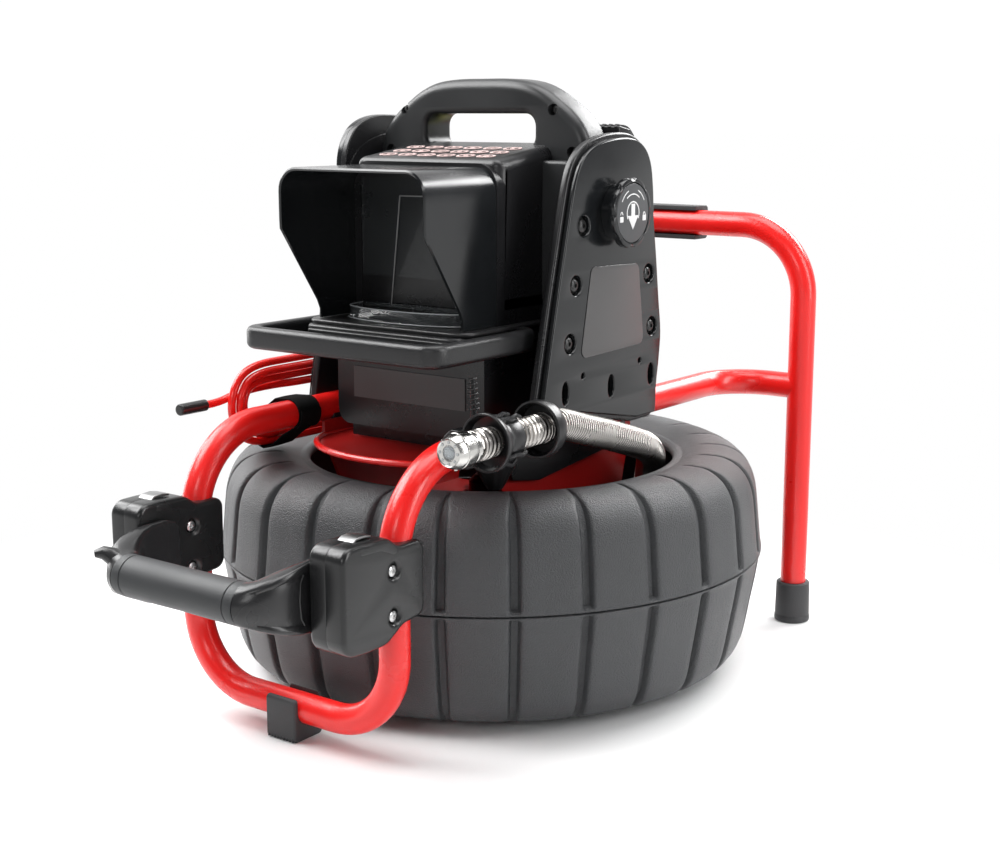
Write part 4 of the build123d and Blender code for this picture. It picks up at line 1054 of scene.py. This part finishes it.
def screen():
    paint(SATIN, "monitor_body", "monitor_base", "dock_seat", "slip_ring_cap", "cable_gland")
    paint(GLOSS, "screen_frame")
    paint(LCD, "screen_panel")
    paint(CLEAR, "screen_glass")
    paint(LABEL, "base_label")


def bracket_details():
    """Rolled front edge of the bracket's deck, skirts under the dock, the knob beside the guide."""
    arc = [(86 * sin(a), -98 - 65 * cos(a), 192.6) for a in (radians(-80 + 8 * k) for k in range(21))]
    hem = sweep([spot(-86, -40, 192.6), *[spot(*p) for p in arc], spot(86, -40, 192.6)], 2.6, 10)
    finish_piece("bracket_hem", hem, "frame", RED)
    skirts = [plate(rounded([(-96, 176, 3), (-60, 170, 10), (62, 182, 6), (62, 206, 1), (-96, 210, 1)]),
            side * 89.6, 4.2, SIDE, 0.8) for side in (-1, 1)]
    finish_piece("dock_skirts", merged("skirts", skirts), "frame", SATIN)
    rows = []
    for z, radius in ((200, 6), (199, 16), (197, 17), (190, 15.4), (178, 9), (173, 6), (172.4, 1)):
        row = []
        for a in angles(48):
            r = radius * (1 - 0.07 * (0.5 + 0.5 * cos(9 * a)))
            row.append(spot(88 + r * cos(a), -113 + r * sin(a), z))
        rows.append(row)
    finish_piece("guide_knob", skin(rows), "frame", TRAY, smooth=30)


def hood_details():
    """Clear lip inside the hood's foot, grey strips along its edges that are a painted highlight, and the thin
    bright edge of the display.
    """
    line = [(-58, -93), (-54, -112), (-30, -122), (0, -125), (30, -122), (54, -112), (58, -93)]
    path = through([(x, y, 0) for x, y in line], 6)
    rows = [[spot(x * k, y, z) for x, y, _ in path] for k,
            z in ((1, 290.2), (1, 299), (0.985, 299.3), (0.985, 290.2))]
    lip = skin([list(column) for column in zip(*rows)], around=True)
    finish_piece("hood_clear_lip", lip, "monitor", CLEAR)
    # Painted highlight: grey strips along the clear lip's top and bottom edges.
    rim = sweep([spot(x, y + 0.6, 299.8) for x, y, _ in path], 0.5, 8)
    foot = sweep([spot(x * 1.01, y - 1.2, 291) for x, y, _ in path], 0.45, 8)
    finish_piece("hood_lip_highlights", merged("rims", [rim, foot]), "monitor", LIP_HIGHLIGHT)
    edge = [(-32, 299), (-22, 384), (44, 384.5)]
    bars = [sweep([spot(a[0], -87.6, a[1]), spot(b[0], -87.6, b[1])], 0.55, 8) for a,
            b in zip(edge, edge[1:])]
    finish_piece("display_edge", merged("edge", bars), "monitor", EDGE)


# ---------------------------------------------------------------- studio
def studio_floor():
    """White floor that fades to pure white away from the object."""
    floor = bpy.data.meshes.new("floor")
    floor.from_pydata([(-30, -30, 0), (30, -30, 0), (30, 30, 0), (-30, 30, 0)], [], [(0, 1, 2, 3)])
    ground = shown("studio_floor", floor)
    material, _ = surface("studio_floor", (0.90, 0.90, 0.90), 0.80, grain=200, bump=0, vary=0.003)
    tree = material.node_tree
    place = tree.nodes.new("ShaderNodeTexCoord")
    away = add(tree, "VectorMath", [(0, place.outputs["Object"])])
    away.operation = "LENGTH"
    fade = add(tree, "MapRange", [("Value", away.outputs["Value"])], From_Min=0.24, From_Max=0.62)
    fade.interpolation_type = "SMOOTHSTEP"
    white = add(tree, "Emission", Color=(1, 1, 1, 1), Strength=1)
    mix = add(tree, "MixShader", [("Fac", fade.outputs["Result"]),
            (1, tree.nodes["Principled BSDF"].outputs["BSDF"]), (2, white.outputs["Emission"])])
    tree.links.new(mix.outputs["Shader"], tree.nodes["Material Output"].inputs["Surface"])
    floor.materials.append(material)


def studio_world():
    """White behind the object, darker in front and overhead, as in a studio with a white sweep."""
    world = bpy.data.worlds.new("studio")
    bpy.context.scene.world = world
    world.use_nodes = True
    tree = world.node_tree
    place = tree.nodes.new("ShaderNodeTexCoord")
    ahead = add(tree, "VectorMath", [(0, place.outputs["Generated"])])
    ahead.operation = "DOT_PRODUCT"
    ahead.inputs[1].default_value = (-0.5976, 0.8018, 0)   # level, as the camera looks
    sweep_color = ramp_of(tree, ahead.outputs["Value"], 0.10, (0.17, 0.17, 0.175, 1), 0.75,
            (1.02, 1.02, 1.02, 1))
    rays = tree.nodes.new("ShaderNodeLightPath")
    backdrop = add(tree, "VectorMath", [(0, sweep_color), (1, rays.outputs["Is Camera Ray"])])
    backdrop.operation = "MAXIMUM"
    background = tree.nodes["Background"]
    tree.links.new(backdrop.outputs["Vector"], background.inputs["Color"])
    background.inputs["Strength"].default_value = 1


def studio():
    studio_floor()
    studio_world()
    lamps = (("key", (-1.25, -1.15, 1.9), (0, -0.05, 0.2), 1.1, 1.1, 26),      # place, aim, width, height, watts
             ("top", (0.15, 0.25, 2.3), (0, 0, 0.2), 1.5, 1.5, 34),
             ("left_strip", (-1.7, 0.1, 0.8), (0, 0, 0.25), 0.5, 1.6, 12),
             ("right_strip", (1.7, 0.35, 1), (0, 0, 0.25), 0.5, 1.8, 20),
             ("front", (0.9, -2.2, 1.2), (0, 0, 0.2), 0.8, 0.5, 7),
             ("high_left", (-1.45, -0.45, 1.95), (0, 0, 0.3), 1.5, 1.6, 46),
             ("rim", (0.35, 1.75, 1.35), (0, 0, 0.3), 1.5, 0.55, 38))
    for name, place, aim, wide, tall, power in lamps:
        lamp = bpy.data.lights.new(name, "AREA")
        lamp.shape = "RECTANGLE"
        lamp.size, lamp.size_y, lamp.energy = wide, tall, power
        light = bpy.data.objects.new(name, lamp)
        light.location = place
        light.rotation_euler = (Vector(aim) - Vector(place)).to_track_quat("-Z", "Y").to_euler()
        bpy.context.scene.collection.objects.link(light)
    bpy.context.scene.view_settings.view_transform = "Standard"


paint(RED, "front_loop_tube", "rear_frame_tube")
# The bracket sheet takes the darker red, which is painted shade.
paint(RED_SHEET_SHADED, "hub_bracket")
paint(STEEL, "axle", "bracket_fasteners", "drum_bearings")
paint(DRUM, "drum_hub")
paint(CAP, "cable_cap", "spring_core")
drum()
wound_cable()
coarse_springs()
long_spring()
camera_head()
guide()
block_halves()
latch_tabs()
for hand, label in ((-1, "left"), (1, "right")):
    handle_arm(hand, label)
carry_grip()
dock()
lock_knob()
sun_hood()
rear_case()
keypad()
tray()
strap()
screws()
feet()
bar_pad()
screen()
bracket_details()
hood_details()
studio()
